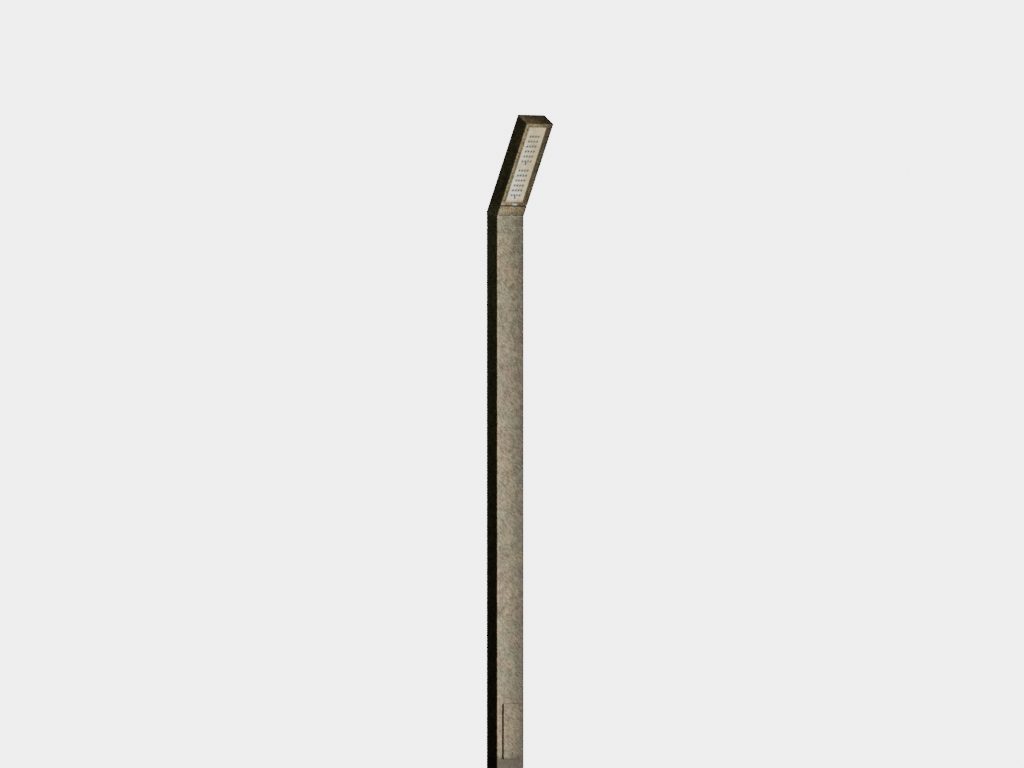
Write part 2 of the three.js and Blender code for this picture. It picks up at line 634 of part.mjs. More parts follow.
function fuseBox() {
  const body = block(-FUSE_BOX_WIDTH / 2, FUSE_BOX_WIDTH / 2, FUSE_BOX_FRONT, EQUIPMENT_BACK,
    FUSE_BOX_TOP - FUSE_BOX_HEIGHT, FUSE_BOX_TOP);
  const x = CARRIER_WIDTH / 2 + HOLE_CLEARANCE;
  const z = CARRIER_HEIGHT / 2 + HOLE_CLEARANCE;
  const back = FUSE_BOX_FRONT + CARRIER_DEPTH + HOLE_CLEARANCE;
  return body.subtract(block(-x, x, FUSE_BOX_FRONT - OVERRUN, back, CARRIER_CENTRE - z,
    CARRIER_CENTRE + z));
}

// Pull-out holder with a grip in front and a recess behind for the fuse.
function fuseCarrier() {
  const back = FUSE_BOX_FRONT + CARRIER_DEPTH;
  const gripFront = FUSE_BOX_FRONT - CARRIER_PROJECTION - CARRIER_GRIP;
  const gripBack = FUSE_BOX_FRONT - CARRIER_PROJECTION;
  const x = CARRIER_WIDTH / 2;
  const z = CARRIER_HEIGHT / 2;
  const grip = slab(x + CARRIER_GRIP_MARGIN, CARRIER_CENTRE - z - CARRIER_GRIP_MARGIN,
    CARRIER_CENTRE + z + CARRIER_GRIP_MARGIN, CARRIER_GRIP_RADIUS, gripFront, gripBack);
  const body = block(-x, x, gripBack - OVERRUN, back, CARRIER_CENTRE - z, CARRIER_CENTRE + z);
  const room = FUSE_LENGTH / 2 + FUSE_ROOM;
  const width = FUSE_RADIUS + FUSE_ROOM;
  const recess = block(-width, width, back - 2 * width - FUSE_SET_BACK, back + OVERRUN,
    CARRIER_CENTRE - room, CARRIER_CENTRE + room);
  return grip.add(body).subtract(recess);
}

function fuseLink() {
  const y = FUSE_BOX_FRONT + CARRIER_DEPTH - FUSE_RADIUS - FUSE_SET_BACK;
  const z0 = CARRIER_CENTRE - FUSE_LENGTH / 2;
  return round([0, y, z0], [0, y, z0 + FUSE_LENGTH], FUSE_RADIUS, FUSE_RADIUS, FUSE_SEGMENTS);
}

function terminalBlock() {
  const front = EQUIPMENT_BACK - TERMINAL_DEPTH;
  const top = TERMINAL_BOTTOM + TERMINAL_HEIGHT;
  let body = block(-TERMINAL_WIDTH / 2, TERMINAL_WIDTH / 2, front, EQUIPMENT_BACK, TERMINAL_BOTTOM, top);
  const pitch = TERMINAL_WIDTH / TERMINAL_POLES;
  for (let pole = 0; pole < TERMINAL_POLES; pole += 1) {
    const x = (pole + 0.5 - TERMINAL_POLES / 2) * pitch;
    body = body.subtract(block(x - pitch / 3, x + pitch / 3, front - OVERRUN, front + TERMINAL_DEPTH / 3,
      TERMINAL_BOTTOM + TERMINAL_HEIGHT / 4, top - TERMINAL_HEIGHT / 4));
  }
  return body;
}

function earthPlace() {
  return { x: INNER_HALF_WIDTH - FIT_GAP, y: 0, z: TERMINAL_BOTTOM + TERMINAL_HEIGHT / 3 };
}

function earthNut() {
  const { x, y, z } = earthPlace();
  const start = x - EARTH_STUD_LENGTH / 3;
  const end = start - EARTH_NUT_THICKNESS;
  const body = round([start, y, z], [end, y, z], EARTH_NUT_RADIUS, EARTH_NUT_RADIUS, HEXAGON);
  return body.subtract(round([start + OVERRUN, y, z], [end - OVERRUN, y, z],
    EARTH_STUD_RADIUS + HOLE_CLEARANCE));
}

function earthLead() {
  const { x, y, z } = earthPlace();
  const run = EARTH_LEAD_RUN;
  const start = TERMINAL_WIDTH / 2 + CABLE_END_GAP;
  const depth = EQUIPMENT_BACK - TERMINAL_DEPTH / 2;
  const nut = x - EARTH_STUD_LENGTH / 3 - EARTH_NUT_THICKNESS / 2;
  return cable([
    new THREE.Vector3(start, depth, z + run.startHeight),
    new THREE.Vector3(start + run.startReach, depth, z + run.startHeight),
    new THREE.Vector3((start + nut) / 2, depth - run.middleBow, z + run.middleHeight),
    new THREE.Vector3(nut - run.endReach, depth - run.endBow, z + run.endHeight),
    new THREE.Vector3(nut, y + EARTH_NUT_RADIUS + run.tailGap, z + run.tailHeight),
  ], EARTH_LEAD_RADIUS, 3);
}

// The supply cable: from the fuse box, up the post, round the bend and into the head.
function riserCable() {
  const y = RISER_DEPTH_IN_POST;
  const axisOffset = GLAND_DEPTH * Math.cos(HEAD_LEAN) - HALF_DEPTH - y;
  const turn = axisOffset / Math.sin(HEAD_LEAN);
  const corner = fromHead(0, GLAND_DEPTH, turn);
  const foot = FUSE_BOX_TOP + CABLE_END_GAP;
  const end = headTerminalFoot() - CABLE_END_GAP;
  const points = [
    new THREE.Vector3(0, y, foot),
    new THREE.Vector3(0, y, foot + RISER_LOWER_STRAIGHT),
    new THREE.Vector3(0, y, (foot + corner.z) / 2),
    new THREE.Vector3(0, y, corner.z - 3 * RISER_BEND_LEG),
    new THREE.Vector3(0, y, corner.z - RISER_BEND_LEG),
    new THREE.Vector3(0, y - RISER_BEND_BOW, corner.z),
    fromHead(0, GLAND_DEPTH, turn + RISER_BEND_LEG),
    fromHead(0, GLAND_DEPTH, COLLAR - RISER_BELOW_GLAND),
    fromHead(0, GLAND_DEPTH, COLLAR + RISER_ABOVE_GLAND),
    fromHead(0, GLAND_DEPTH, end),
  ];
  return cable(points, RISER_RADIUS, 4);
}

function buildEquipment(group) {
  const { x, y, z } = earthPlace();
  addPart(group, 'equipment_board', equipmentBoard(), FINISH.palePlastic);
  addPart(group, 'fuse_box', fuseBox(), FINISH.plastic);
  addPart(group, 'fuse_carrier', fuseCarrier(), FINISH.palePlastic);
  addPart(group, 'fuse_link', fuseLink(), FINISH.steel);
  addPart(group, 'terminal_block', terminalBlock(), FINISH.palePlastic);
  addPart(group, 'earth_stud', round([x, y, z], [x - EARTH_STUD_LENGTH, y, z], EARTH_STUD_RADIUS),
    FINISH.steel);
  addPart(group, 'earth_nut', earthNut(), FINISH.steel);
  addPart(group, 'earth_lead', earthLead(), FINISH.earth);
  addPart(group, 'riser_cable', riserCable(), FINISH.cable);
}

// Upper half of the mitred bend and the tray-shaped back of the head, in one weldment.
function headShell() {
  const beyond = HEAD_LENGTH + OVERRUN;
  let shell = prism(POST_WIDTH, POST_DEPTH, CORNER_RADIUS, -POST_DEPTH, HEAD_LENGTH, HALF_DEPTH);
  shell = shell.subtract(beyondPlane(0, FIT_GAP, -MITRE, -1));
  shell = shell.subtract(prism(2 * INNER_HALF_WIDTH, 2 * INNER_HALF_DEPTH, INNER_RADIUS,
    -POST_DEPTH, COLLAR - COLLAR_END_WALL, HALF_DEPTH));
  shell = shell.subtract(block(-POST_WIDTH, POST_WIDTH, -OVERRUN, SHELL_RIM, COLLAR, beyond));
  shell = shell.subtract(block(-INNER_HALF_WIDTH, INNER_HALF_WIDTH, SHELL_RIM - OVERRUN, FLANGE_FRONT,
    COLLAR + COLLAR_END_WALL, SHELL_TIP_WALL));
  const openHalf = INNER_HALF_WIDTH - FLANGE_SIDE_WIDTH;
  shell = shell.subtract(block(-openHalf, openHalf, FLANGE_FRONT - OVERRUN, FLANGE_BACK + OVERRUN,
    FLANGE_FOOT, SHELL_TIP_WALL - FLANGE_TIP_WIDTH));
  shell = shell.subtract(block(-INNER_HALF_WIDTH, INNER_HALF_WIDTH, FLANGE_BACK, SHELL_INNER_BACK,
    COLLAR - 2 * COLLAR_END_WALL, SHELL_TIP_WALL));
  for (const x of [-LID_SCREW_X, LID_SCREW_X]) {
    shell = shell.subtract(round([x, FLANGE_FRONT - OVERRUN, LID_SCREW_PLACE],
      [x, FLANGE_BACK + OVERRUN, LID_SCREW_PLACE],
      LID_SCREW_RADIUS + LID_SCREW_HOLE_MARGIN));
  }
  return shell;
}

function bulkheadPlace() {
  const foot = COLLAR + BULKHEAD_MARGIN;
  return { foot, tip: foot + BULKHEAD_THICKNESS };
}

function bulkhead() {
  const { foot, tip } = bulkheadPlace();
  const half = INNER_HALF_WIDTH - FIT_GAP;
  let plate = block(-half, half, FLANGE_BACK + FIT_GAP, SHELL_INNER_BACK - FIT_GAP, foot, tip);
  plate = plate.subtract(round([0, GLAND_DEPTH, foot - OVERRUN], [0, GLAND_DEPTH, tip + OVERRUN],
    GLAND_THREAD_RADIUS + HOLE_CLEARANCE));
  return plate.subtract(round([VENT_OFFSET, GLAND_DEPTH, foot - OVERRUN],
    [VENT_OFFSET, GLAND_DEPTH, tip + OVERRUN],
    VENT_RADIUS + HOLE_CLEARANCE));
}

function cableGland() {
  const seat = bulkheadPlace().tip + FIT_GAP;
  const low = seat - GLAND_THREAD_LENGTH;
  const high = seat + 2 * GLAND_HEX_LENGTH;
  let body = round([0, GLAND_DEPTH, low], [0, GLAND_DEPTH, high], GLAND_THREAD_RADIUS);
  body = body.add(round([0, GLAND_DEPTH, seat], [0, GLAND_DEPTH, seat + GLAND_HEX_LENGTH],
    GLAND_HEX_RADIUS, GLAND_HEX_RADIUS, HEXAGON));
  return body.subtract(round([0, GLAND_DEPTH, low - OVERRUN], [0, GLAND_DEPTH, high + OVERRUN],
    RISER_RADIUS + HOLE_CLEARANCE));
}

function ventPlug() {
  const seat = bulkheadPlace().tip + FIT_GAP;
  const cap = round([VENT_OFFSET, GLAND_DEPTH, seat], [VENT_OFFSET, GLAND_DEPTH, seat + VENT_CAP_HEIGHT],
    VENT_RADIUS + VENT_CAP_MARGIN);
  return cap.add(round([VENT_OFFSET, GLAND_DEPTH, seat - VENT_PLUG_DEPTH],
    [VENT_OFFSET, GLAND_DEPTH, seat + OVERRUN], VENT_RADIUS));
}

function headTerminalFoot() {
  return FLANGE_FOOT + GEAR_FOOT_MARGIN;
}

function gearTray() {
  const half = INNER_HALF_WIDTH - TRAY_SIDE_MARGIN;
  const plate = block(-half, half, TRAY_BACK - TRAY_THICKNESS, TRAY_BACK, FLANGE_FOOT,
    SHELL_TIP_WALL - TRAY_SIDE_MARGIN);
  const rail = block(-half, -half + TRAY_SIDE_MARGIN, TRAY_BACK - OVERRUN, SHELL_INNER_BACK - FIT_GAP,
    FLANGE_FOOT, SHELL_TIP_WALL - TRAY_SIDE_MARGIN);
  const otherRail = block(half - TRAY_SIDE_MARGIN, half, TRAY_BACK - OVERRUN, SHELL_INNER_BACK - FIT_GAP,
    FLANGE_FOOT, SHELL_TIP_WALL - TRAY_SIDE_MARGIN);
  return plate.add(rail).add(otherRail);
}

function gearBox(size, x0, foot) {
  return slab(size.width / 2, foot, foot + size.length, GEAR_CORNER_RADIUS,
    GEAR_BACK - size.depth, GEAR_BACK, x0 + size.width / 2);
}

function lidGasket() {
  const half = INNER_HALF_WIDTH - GASKET_INSET;
  const foot = FLANGE_FOOT - GASKET_WIDTH - GASKET_FOOT_GAP;
  const tip = SHELL_TIP_WALL - FLANGE_TIP_WIDTH + GASKET_WIDTH + GASKET_TIP_GAP;
  return ring(half, foot, tip, GASKET_WIDTH, GASKET_CORNER_RADIUS, LID_BACK + FIT_GAP,
    FLANGE_FRONT - FIT_GAP);
}

function isolatorPlace() {
  const centre = (WINDOW_FOOT + WINDOW_TIP) / 2;
  return { foot: centre - ISOLATOR_SIZE.length, x: ISOLATOR_OFFSET };
}

function isolatorSocket() {
  const { foot, x } = isolatorPlace();
  const half = ISOLATOR_SIZE.width / 2;
  return block(x - half, x + half, FLANGE_FRONT + FIT_GAP, GEAR_BACK, foot, foot + ISOLATOR_SIZE.length);
}

function isolatorPlug() {
  const { foot, x } = isolatorPlace();
  const half = ISOLATOR_SIZE.width / 2 - ISOLATOR_PLUG_MARGIN;
  return block(x - half, x + half, UNIT_FLOOR_DEPTH + UNIT_WALL + FIT_GAP, FLANGE_FRONT - FIT_GAP,
    foot + ISOLATOR_PLUG_MARGIN, foot + ISOLATOR_SIZE.length - ISOLATOR_PLUG_MARGIN);
}

function hingeBracket(x) {
  const foot = HINGE_PLACE - HINGE_ARM_THICKNESS / 2;
  const back = FLANGE_FRONT - FIT_GAP;
  const halfArm = HINGE_ARM_WIDTH / 2;
  const halfFoot = HINGE_FOOT_WIDTH / 2;
  const footStart = HINGE_PLACE - HINGE_FOOT_LENGTH / 2 - HINGE_FOOT_SHIFT;
  let bracket = block(x - halfArm, x + halfArm, HINGE_DEPTH, back, foot, foot + HINGE_ARM_THICKNESS);
  bracket = bracket.add(round([x - halfArm, HINGE_DEPTH, HINGE_PLACE],
    [x + halfArm, HINGE_DEPTH, HINGE_PLACE],
    HINGE_KNUCKLE_RADIUS));
  bracket = bracket.add(block(x - halfFoot, x + halfFoot, back - HINGE_FOOT_THICKNESS, back,
    footStart, footStart + HINGE_FOOT_LENGTH));
  return bracket.subtract(round([x - halfFoot, HINGE_DEPTH, HINGE_PLACE],
    [x + halfFoot, HINGE_DEPTH, HINGE_PLACE],
    HINGE_ROD_RADIUS + FIT_GAP));
}

function hingeEarStart() {
  return HINGE_ARM_WIDTH / 2 + HINGE_SIDE_CLEARANCE;
}

function hingeRod() {
  const half = HINGE_OFFSET + hingeEarStart() + HINGE_EAR_THICKNESS + FIT_GAP;
  const end = half + HINGE_HEAD_LENGTH;
  let rod = round([-end, HINGE_DEPTH, HINGE_PLACE], [end, HINGE_DEPTH, HINGE_PLACE], HINGE_ROD_RADIUS);
  rod = rod.add(round([-end, HINGE_DEPTH, HINGE_PLACE], [-half, HINGE_DEPTH, HINGE_PLACE],
    HINGE_HEAD_RADIUS));
  return rod.add(round([half, HINGE_DEPTH, HINGE_PLACE], [end, HINGE_DEPTH, HINGE_PLACE],
    HINGE_HEAD_RADIUS));
}

// Room that a bracket's arm needs in the pieces that swing round it.
function hingeNotch(x) {
  const half = hingeEarStart();
  return block(x - half, x + half, LID_FRONT, LID_DEPTH,
    LID_FOOT - OVERRUN, HINGE_PLACE + HINGE_ARM_THICKNESS / 2 + HINGE_NOTCH_MARGIN);
}

function lidFrame() {
  let frame = prism(POST_WIDTH, POST_DEPTH, CORNER_RADIUS, LID_FOOT, HEAD_LENGTH, HALF_DEPTH);
  frame = frame.subtract(block(-POST_WIDTH, POST_WIDTH, LID_BACK, 2 * POST_DEPTH, LID_FOOT - OVERRUN,
    HEAD_LENGTH + OVERRUN));
  frame = frame.subtract(block(-HALF_WIDTH + LID_WALL, HALF_WIDTH - LID_WALL, LID_FRONT, LID_DEPTH,
    LID_FOOT + LID_WALL, HEAD_LENGTH - LID_WALL));
  frame = frame.subtract(slab(LEDGE_HALF_OPENING, LEDGE_FOOT, LEDGE_TIP, GLASS_CORNER_RADIUS, -OVERRUN,
    LID_FRONT + OVERRUN));
  frame = frame.subtract(slab(FRAME_HALF_OPENING, FRAME_OPENING_FOOT, FRAME_OPENING_TIP,
    FRAME_OPENING_RADIUS,
    -OVERRUN, BEZEL_THICKNESS + FIT_GAP));
  for (const x of [-HINGE_OFFSET, HINGE_OFFSET]) {
    for (const side of [-1, 1]) {
      const inner = x + side * hingeEarStart();
      const outer = inner + side * HINGE_EAR_THICKNESS;
      const ear = block(Math.min(inner, outer), Math.max(inner, outer), LID_FRONT - 1,
        HINGE_DEPTH + HINGE_KNUCKLE_RADIUS, LID_FOOT + HINGE_EAR_RISE,
        HINGE_PLACE + HINGE_KNUCKLE_RADIUS);
      frame = frame.add(ear);
    }
    frame = frame.subtract(hingeNotch(x));
    const reach = hingeEarStart() + HINGE_EAR_THICKNESS + OVERRUN;
    frame = frame.subtract(round([x - reach, HINGE_DEPTH, HINGE_PLACE],
      [x + reach, HINGE_DEPTH, HINGE_PLACE],
      HINGE_ROD_RADIUS + FIT_GAP));
  }
  for (const x of [-LID_SCREW_X, LID_SCREW_X]) {
    const bossEnd = LID_FRONT + LID_SCREW_BOSS_LENGTH;
    const sinkEnd = LID_SCREW_HEAD_HEIGHT + 2 * FIT_GAP;
    frame = frame.add(round([x, LID_FRONT - OVERRUN, LID_SCREW_PLACE], [x, bossEnd, LID_SCREW_PLACE],
      LID_SCREW_BOSS_RADIUS));
    frame = frame.subtract(round([x, -OVERRUN, LID_SCREW_PLACE], [x, bossEnd + OVERRUN, LID_SCREW_PLACE],
      LID_SCREW_RADIUS + HOLE_CLEARANCE));
    frame = frame.subtract(round([x, -OVERRUN, LID_SCREW_PLACE], [x, sinkEnd, LID_SCREW_PLACE],
      LID_SCREW_HEAD_RADIUS + HOLE_CLEARANCE));
  }
  return frame;
}

// Inner frame set in the lid's front, with a narrow groove between the two.
function glassBezel() {
  const outer = slab(FRAME_HALF_OPENING - BEZEL_GROOVE, FRAME_OPENING_FOOT + BEZEL_GROOVE,
    FRAME_OPENING_TIP - BEZEL_GROOVE, BEZEL_CORNER_RADIUS, 0, BEZEL_THICKNESS);
  return outer.subtract(slab(WINDOW_HALF_WIDTH, WINDOW_FOOT, WINDOW_TIP, GLASS_CORNER_RADIUS, -OVERRUN,
    BEZEL_THICKNESS + OVERRUN));
}

function lidScrew(x) {
  const headEnd = FIT_GAP + LID_SCREW_HEAD_HEIGHT;
  const tip = FLANGE_BACK + LID_SCREW_PROJECTION;
  const head = round([x, FIT_GAP, LID_SCREW_PLACE], [x, headEnd, LID_SCREW_PLACE], LID_SCREW_HEAD_RADIUS);
  const shank = round([x, headEnd - OVERRUN, LID_SCREW_PLACE], [x, tip, LID_SCREW_PLACE],
    LID_SCREW_RADIUS);
  const key = round([x, -OVERRUN, LID_SCREW_PLACE], [x, headEnd - KEY_FLOOR, LID_SCREW_PLACE],
    KEY_RADIUS, KEY_RADIUS, HEXAGON);
  return head.add(shank).subtract(key);
}

// Pan that carries the LEDs in the lid; its back flange is the face the lid gasket seals on.
function ledTray() {
  const half = GLASS_HALF_WIDTH + FIT_GAP;
  const foot = GLASS_FOOT + FIT_GAP;
  const tip = GLASS_TIP + FIT_GAP;
  const front = GLASS_BACK + FIT_GAP;
  const flangeHalf = HALF_WIDTH - LID_WALL - FIT_GAP;
  const flangeFoot = LID_FOOT + LID_WALL + FIT_GAP;
  const flangeTip = HEAD_LENGTH - LID_WALL - FIT_GAP;
  let tray = block(-half, half, front, LID_BACK, foot, tip);
  tray = tray.add(block(-flangeHalf, flangeHalf, LID_BACK - UNIT_FLANGE_THICKNESS, LID_BACK, flangeFoot,
    flangeTip));
  const inner = half - UNIT_WALL;
  tray = tray.subtract(block(-inner, inner, front - OVERRUN, UNIT_FLOOR_DEPTH, foot + UNIT_WALL,
    tip - UNIT_WALL));
  tray = tray.subtract(block(-inner, inner, UNIT_FLOOR_DEPTH + UNIT_WALL, LID_DEPTH,
    foot + UNIT_WALL, tip - UNIT_WALL));
  for (const side of [-1, 1]) {
    tray = tray.subtract(hingeNotch(side * HINGE_OFFSET));
    const x = side * LID_SCREW_X;
    tray = tray.subtract(round([x, LID_BACK - UNIT_FLANGE_THICKNESS - OVERRUN, LID_SCREW_PLACE],
      [x, LID_DEPTH, LID_SCREW_PLACE], LID_SCREW_RADIUS + HOLE_CLEARANCE));
  }
  return tray;
}

function ledColumns() {
  return Array.from({ length: LED_COLUMNS }, (_, i) => (i - (LED_COLUMNS - 1) / 2) * LED_COLUMN_PITCH);
}

function ledRows(start) {
  return Array.from({ length: LED_ROWS }, (_, i) => start + i * ROW_PITCH);
}

function stemPlace(start) {
  const tip = start - LENS_MARGIN - FIT_GAP;
  return { foot: tip - STEM_LENGTH, tip };
}

// Pale cover sheet with a window over each LED and a slot over each connector.
function reflectorPanel() {
  let panel = slab(PANEL_HALF_WIDTH, PANEL_FOOT, PANEL_TIP, PANEL_CORNER_RADIUS, PANEL_DEPTH, UNIT_TOP);
  const inner = PANEL_HALF_WIDTH - PANEL_WALL;
  panel = panel.subtract(block(-inner, inner, PANEL_DEPTH + PANEL_WALL, UNIT_TOP + OVERRUN,
    PANEL_FOOT + PANEL_WALL, PANEL_TIP - PANEL_WALL));
  const half = LED_WINDOW / 2;
  for (const start of Object.values(MODULE_STARTS)) {
    for (const row of ledRows(start)) {
      for (const x of ledColumns()) {
        panel = panel.subtract(block(x - half, x + half, PANEL_DEPTH - OVERRUN,
          PANEL_DEPTH + PANEL_WALL + OVERRUN,
          row - half, row + half));
      }
    }
    const { foot, tip } = stemPlace(start);
    const room = STEM_WIDTH / 2 + STEM_CLEARANCE;
    panel = panel.subtract(block(-room, room, PANEL_DEPTH - OVERRUN, PANEL_DEPTH + PANEL_WALL + OVERRUN,
      foot - STEM_CLEARANCE, tip + STEM_CLEARANCE));
  }
  return panel;
}

function ledBoard(start) {
  const half = BOARD_LED_WIDTH / 2;
  return slab(half, start - BOARD_LED_FOOT, start + MODULE_SPAN + BOARD_LED_TIP, BOARD_CORNER_RADIUS,
    UNIT_TOP - BOARD_LED_THICKNESS, UNIT_TOP);
}

// Clear plate with one raised lens over each LED.
function lensArray(start) {
  const half = (LED_COLUMNS - 1) / 2 * LED_COLUMN_PITCH + LENS_MARGIN;
  const front = LENS_BACK - LENS_BASE_THICKNESS;
  let plate = block(-half, half, front, LENS_BACK, start - LENS_MARGIN,
    start + MODULE_SPAN + LENS_MARGIN);
  for (const row of ledRows(start)) {
    for (const x of ledColumns()) {
      plate = plate.add(round([x, front + LENS_ROOT, row], [x, front - LENS_HEIGHT, row],
        LENS_FOOT_RADIUS, LENS_TOP_RADIUS, LENS_SIDES));
    }
  }
  return plate;
}

function ledConnector(start) {
  const { foot, tip } = stemPlace(start);
  return block(-STEM_WIDTH / 2, STEM_WIDTH / 2, STEM_DEPTH, LENS_BACK, foot, tip);
}

function namePlate() {
  const foot = LID_FOOT + NAME_PLATE.margin;
  return slab(NAME_PLATE.width / 2, foot, foot + NAME_PLATE.height, NAME_PLATE.radius,
    -FIT_GAP - NAME_PLATE.thickness, -FIT_GAP);
}

function buildHead(group) {
  addPart(group, 'head_shell', headShell(), FINISH.coated);
  addPart(group, 'bulkhead', bulkhead(), FINISH.galvanised);
  addPart(group, 'cable_gland', cableGland(), FINISH.plastic);
  addPart(group, 'vent_plug', ventPlug(), FINISH.plastic);
  addPart(group, 'gear_tray', gearTray(), FINISH.galvanised);
  const left = -INNER_HALF_WIDTH + GEAR_SIDE_MARGIN;
  const terminalLeft = left + SURGE_SIZE.width + HEAD_TERMINAL_GAP;
  const terminalFoot = headTerminalFoot();
  const driverFoot = terminalFoot + SURGE_SIZE.length + HEAD_TERMINAL_SIZE.length;
  addPart(group, 'led_driver', gearBox(DRIVER_SIZE, left, driverFoot), FINISH.palePlastic);
  addPart(group, 'surge_protector', gearBox(SURGE_SIZE, left, terminalFoot), FINISH.plastic);
  addPart(group, 'head_terminal_block', gearBox(HEAD_TERMINAL_SIZE, terminalLeft, terminalFoot),
    FINISH.palePlastic);
  addPart(group, 'isolator_socket', isolatorSocket(), FINISH.plastic);
  addPart(group, 'lid_gasket', lidGasket(), FINISH.rubber);
  addPart(group, 'hinge_bracket_left', hingeBracket(-HINGE_OFFSET), FINISH.galvanised);
  addPart(group, 'hinge_bracket_right', hingeBracket(HINGE_OFFSET), FINISH.galvanised);
}

function buildLid(group) {
  addPart(group, 'lid_frame', lidFrame(), FINISH.coated);
  addPart(group, 'glass_bezel', glassBezel(), FINISH.coated);
  addPart(group, 'hinge_rod', hingeRod(), FINISH.steel);
  addPart(group, 'lid_screw_left', lidScrew(-LID_SCREW_X), FINISH.coated);
  addPart(group, 'lid_screw_right', lidScrew(LID_SCREW_X), FINISH.coated);
  addPart(group, 'glass_gasket', ring(GLASS_HALF_WIDTH, GLASS_FOOT, GLASS_TIP, GLASS_GASKET_WIDTH,
    GLASS_CORNER_RADIUS,
    LID_FRONT + FIT_GAP, GLASS_FRONT - FIT_GAP), FINISH.rubber);
  addPart(group, 'lid_glass', slab(GLASS_HALF_WIDTH, GLASS_FOOT, GLASS_TIP, GLASS_CORNER_RADIUS,
    GLASS_FRONT, GLASS_BACK), FINISH.glass);
  addPart(group, 'led_tray', ledTray(), FINISH.panel);
  addPart(group, 'reflector_panel', reflectorPanel(), FINISH.panel);
  addPart(group, 'isolator_plug', isolatorPlug(), FINISH.plastic);
  addPart(group, 'name_plate', namePlate(), FINISH.palePlastic);
  for (const [end, start] of Object.entries(MODULE_STARTS)) {
    addPart(group, `led_board_${end}`, ledBoard(start), FINISH.board);
    addPart(group, `lens_array_${end}`, lensArray(start), FINISH.lens);
    addPart(group, `led_connector_${end}`, ledConnector(start), FINISH.plastic);
  }
}

const lamp = new THREE.Group();
buildFoot(lamp);
buildPost(lamp);
buildDoor(lamp);
buildEquipment(lamp);

const head = new THREE.Group();
head.position.set(0, -HALF_DEPTH, BEND_HEIGHT);
head.rotation.x = HEAD_LEAN;
buildHead(head);
buildLid(head);
lamp.add(head);

export default lamp;
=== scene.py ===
"""Street lamp post with a mitred LED head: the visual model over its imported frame.

Every length is in metres. Pieces take their places from the frame's own nodes, so each one
lands on the part it stands for and rides on that part's body.
"""

import json
import logging
import math
from dataclasses import dataclass, replace
from enum import Enum
from typing import Any, Iterable, Optional, Protocol, Sequence, Union

import bmesh
import bpy
from mathutils import Matrix, Vector

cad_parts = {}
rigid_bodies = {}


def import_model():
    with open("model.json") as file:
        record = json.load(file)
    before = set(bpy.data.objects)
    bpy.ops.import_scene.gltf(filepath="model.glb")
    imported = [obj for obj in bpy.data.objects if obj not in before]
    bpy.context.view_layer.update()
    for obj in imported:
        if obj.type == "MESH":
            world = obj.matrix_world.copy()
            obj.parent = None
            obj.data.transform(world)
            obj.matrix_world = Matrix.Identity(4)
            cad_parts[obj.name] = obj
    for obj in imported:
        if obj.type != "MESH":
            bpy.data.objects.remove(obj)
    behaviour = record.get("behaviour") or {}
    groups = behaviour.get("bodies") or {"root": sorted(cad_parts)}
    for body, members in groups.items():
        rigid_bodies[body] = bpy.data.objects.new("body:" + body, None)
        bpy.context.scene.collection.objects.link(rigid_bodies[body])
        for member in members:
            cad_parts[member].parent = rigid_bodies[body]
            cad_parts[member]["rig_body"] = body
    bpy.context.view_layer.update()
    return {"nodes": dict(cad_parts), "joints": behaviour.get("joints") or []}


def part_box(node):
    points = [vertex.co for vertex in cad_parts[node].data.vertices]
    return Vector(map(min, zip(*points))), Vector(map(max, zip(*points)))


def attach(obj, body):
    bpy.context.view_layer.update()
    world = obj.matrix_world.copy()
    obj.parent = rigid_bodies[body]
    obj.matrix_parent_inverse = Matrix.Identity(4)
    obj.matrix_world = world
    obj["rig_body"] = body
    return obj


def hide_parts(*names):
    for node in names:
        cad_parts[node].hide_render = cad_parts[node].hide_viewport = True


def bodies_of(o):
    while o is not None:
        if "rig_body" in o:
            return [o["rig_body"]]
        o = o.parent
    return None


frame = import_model()
LOG = logging.getLogger("street_lamp")
Colour = tuple[float, float, float]


class Slot(Enum):
    """The record's material slots."""

    COAT = "coated_steel"
    GALVANISED = "galvanised"
    STAINLESS = "stainless"
    RUBBER = "rubber"
    DARK_PLASTIC = "dark_plastic"
    PALE_PLASTIC = "pale_plastic"
    CREAM = "panel_cream"
    BOARD = "board_white"
    LENS = "lens_clear"
    GLASS = "cover_glass"
    CABLE = "cable_black"
    EARTH = "earth_sheath"


class Pattern(Enum):
    """How a finish's colours are laid over a surface."""

    PATCHES = "soft patches"
    SPANGLE = "zinc crystals"
    BRUSHED = "fine lines along one way"


# ---------------------------------------------------------------- node trees


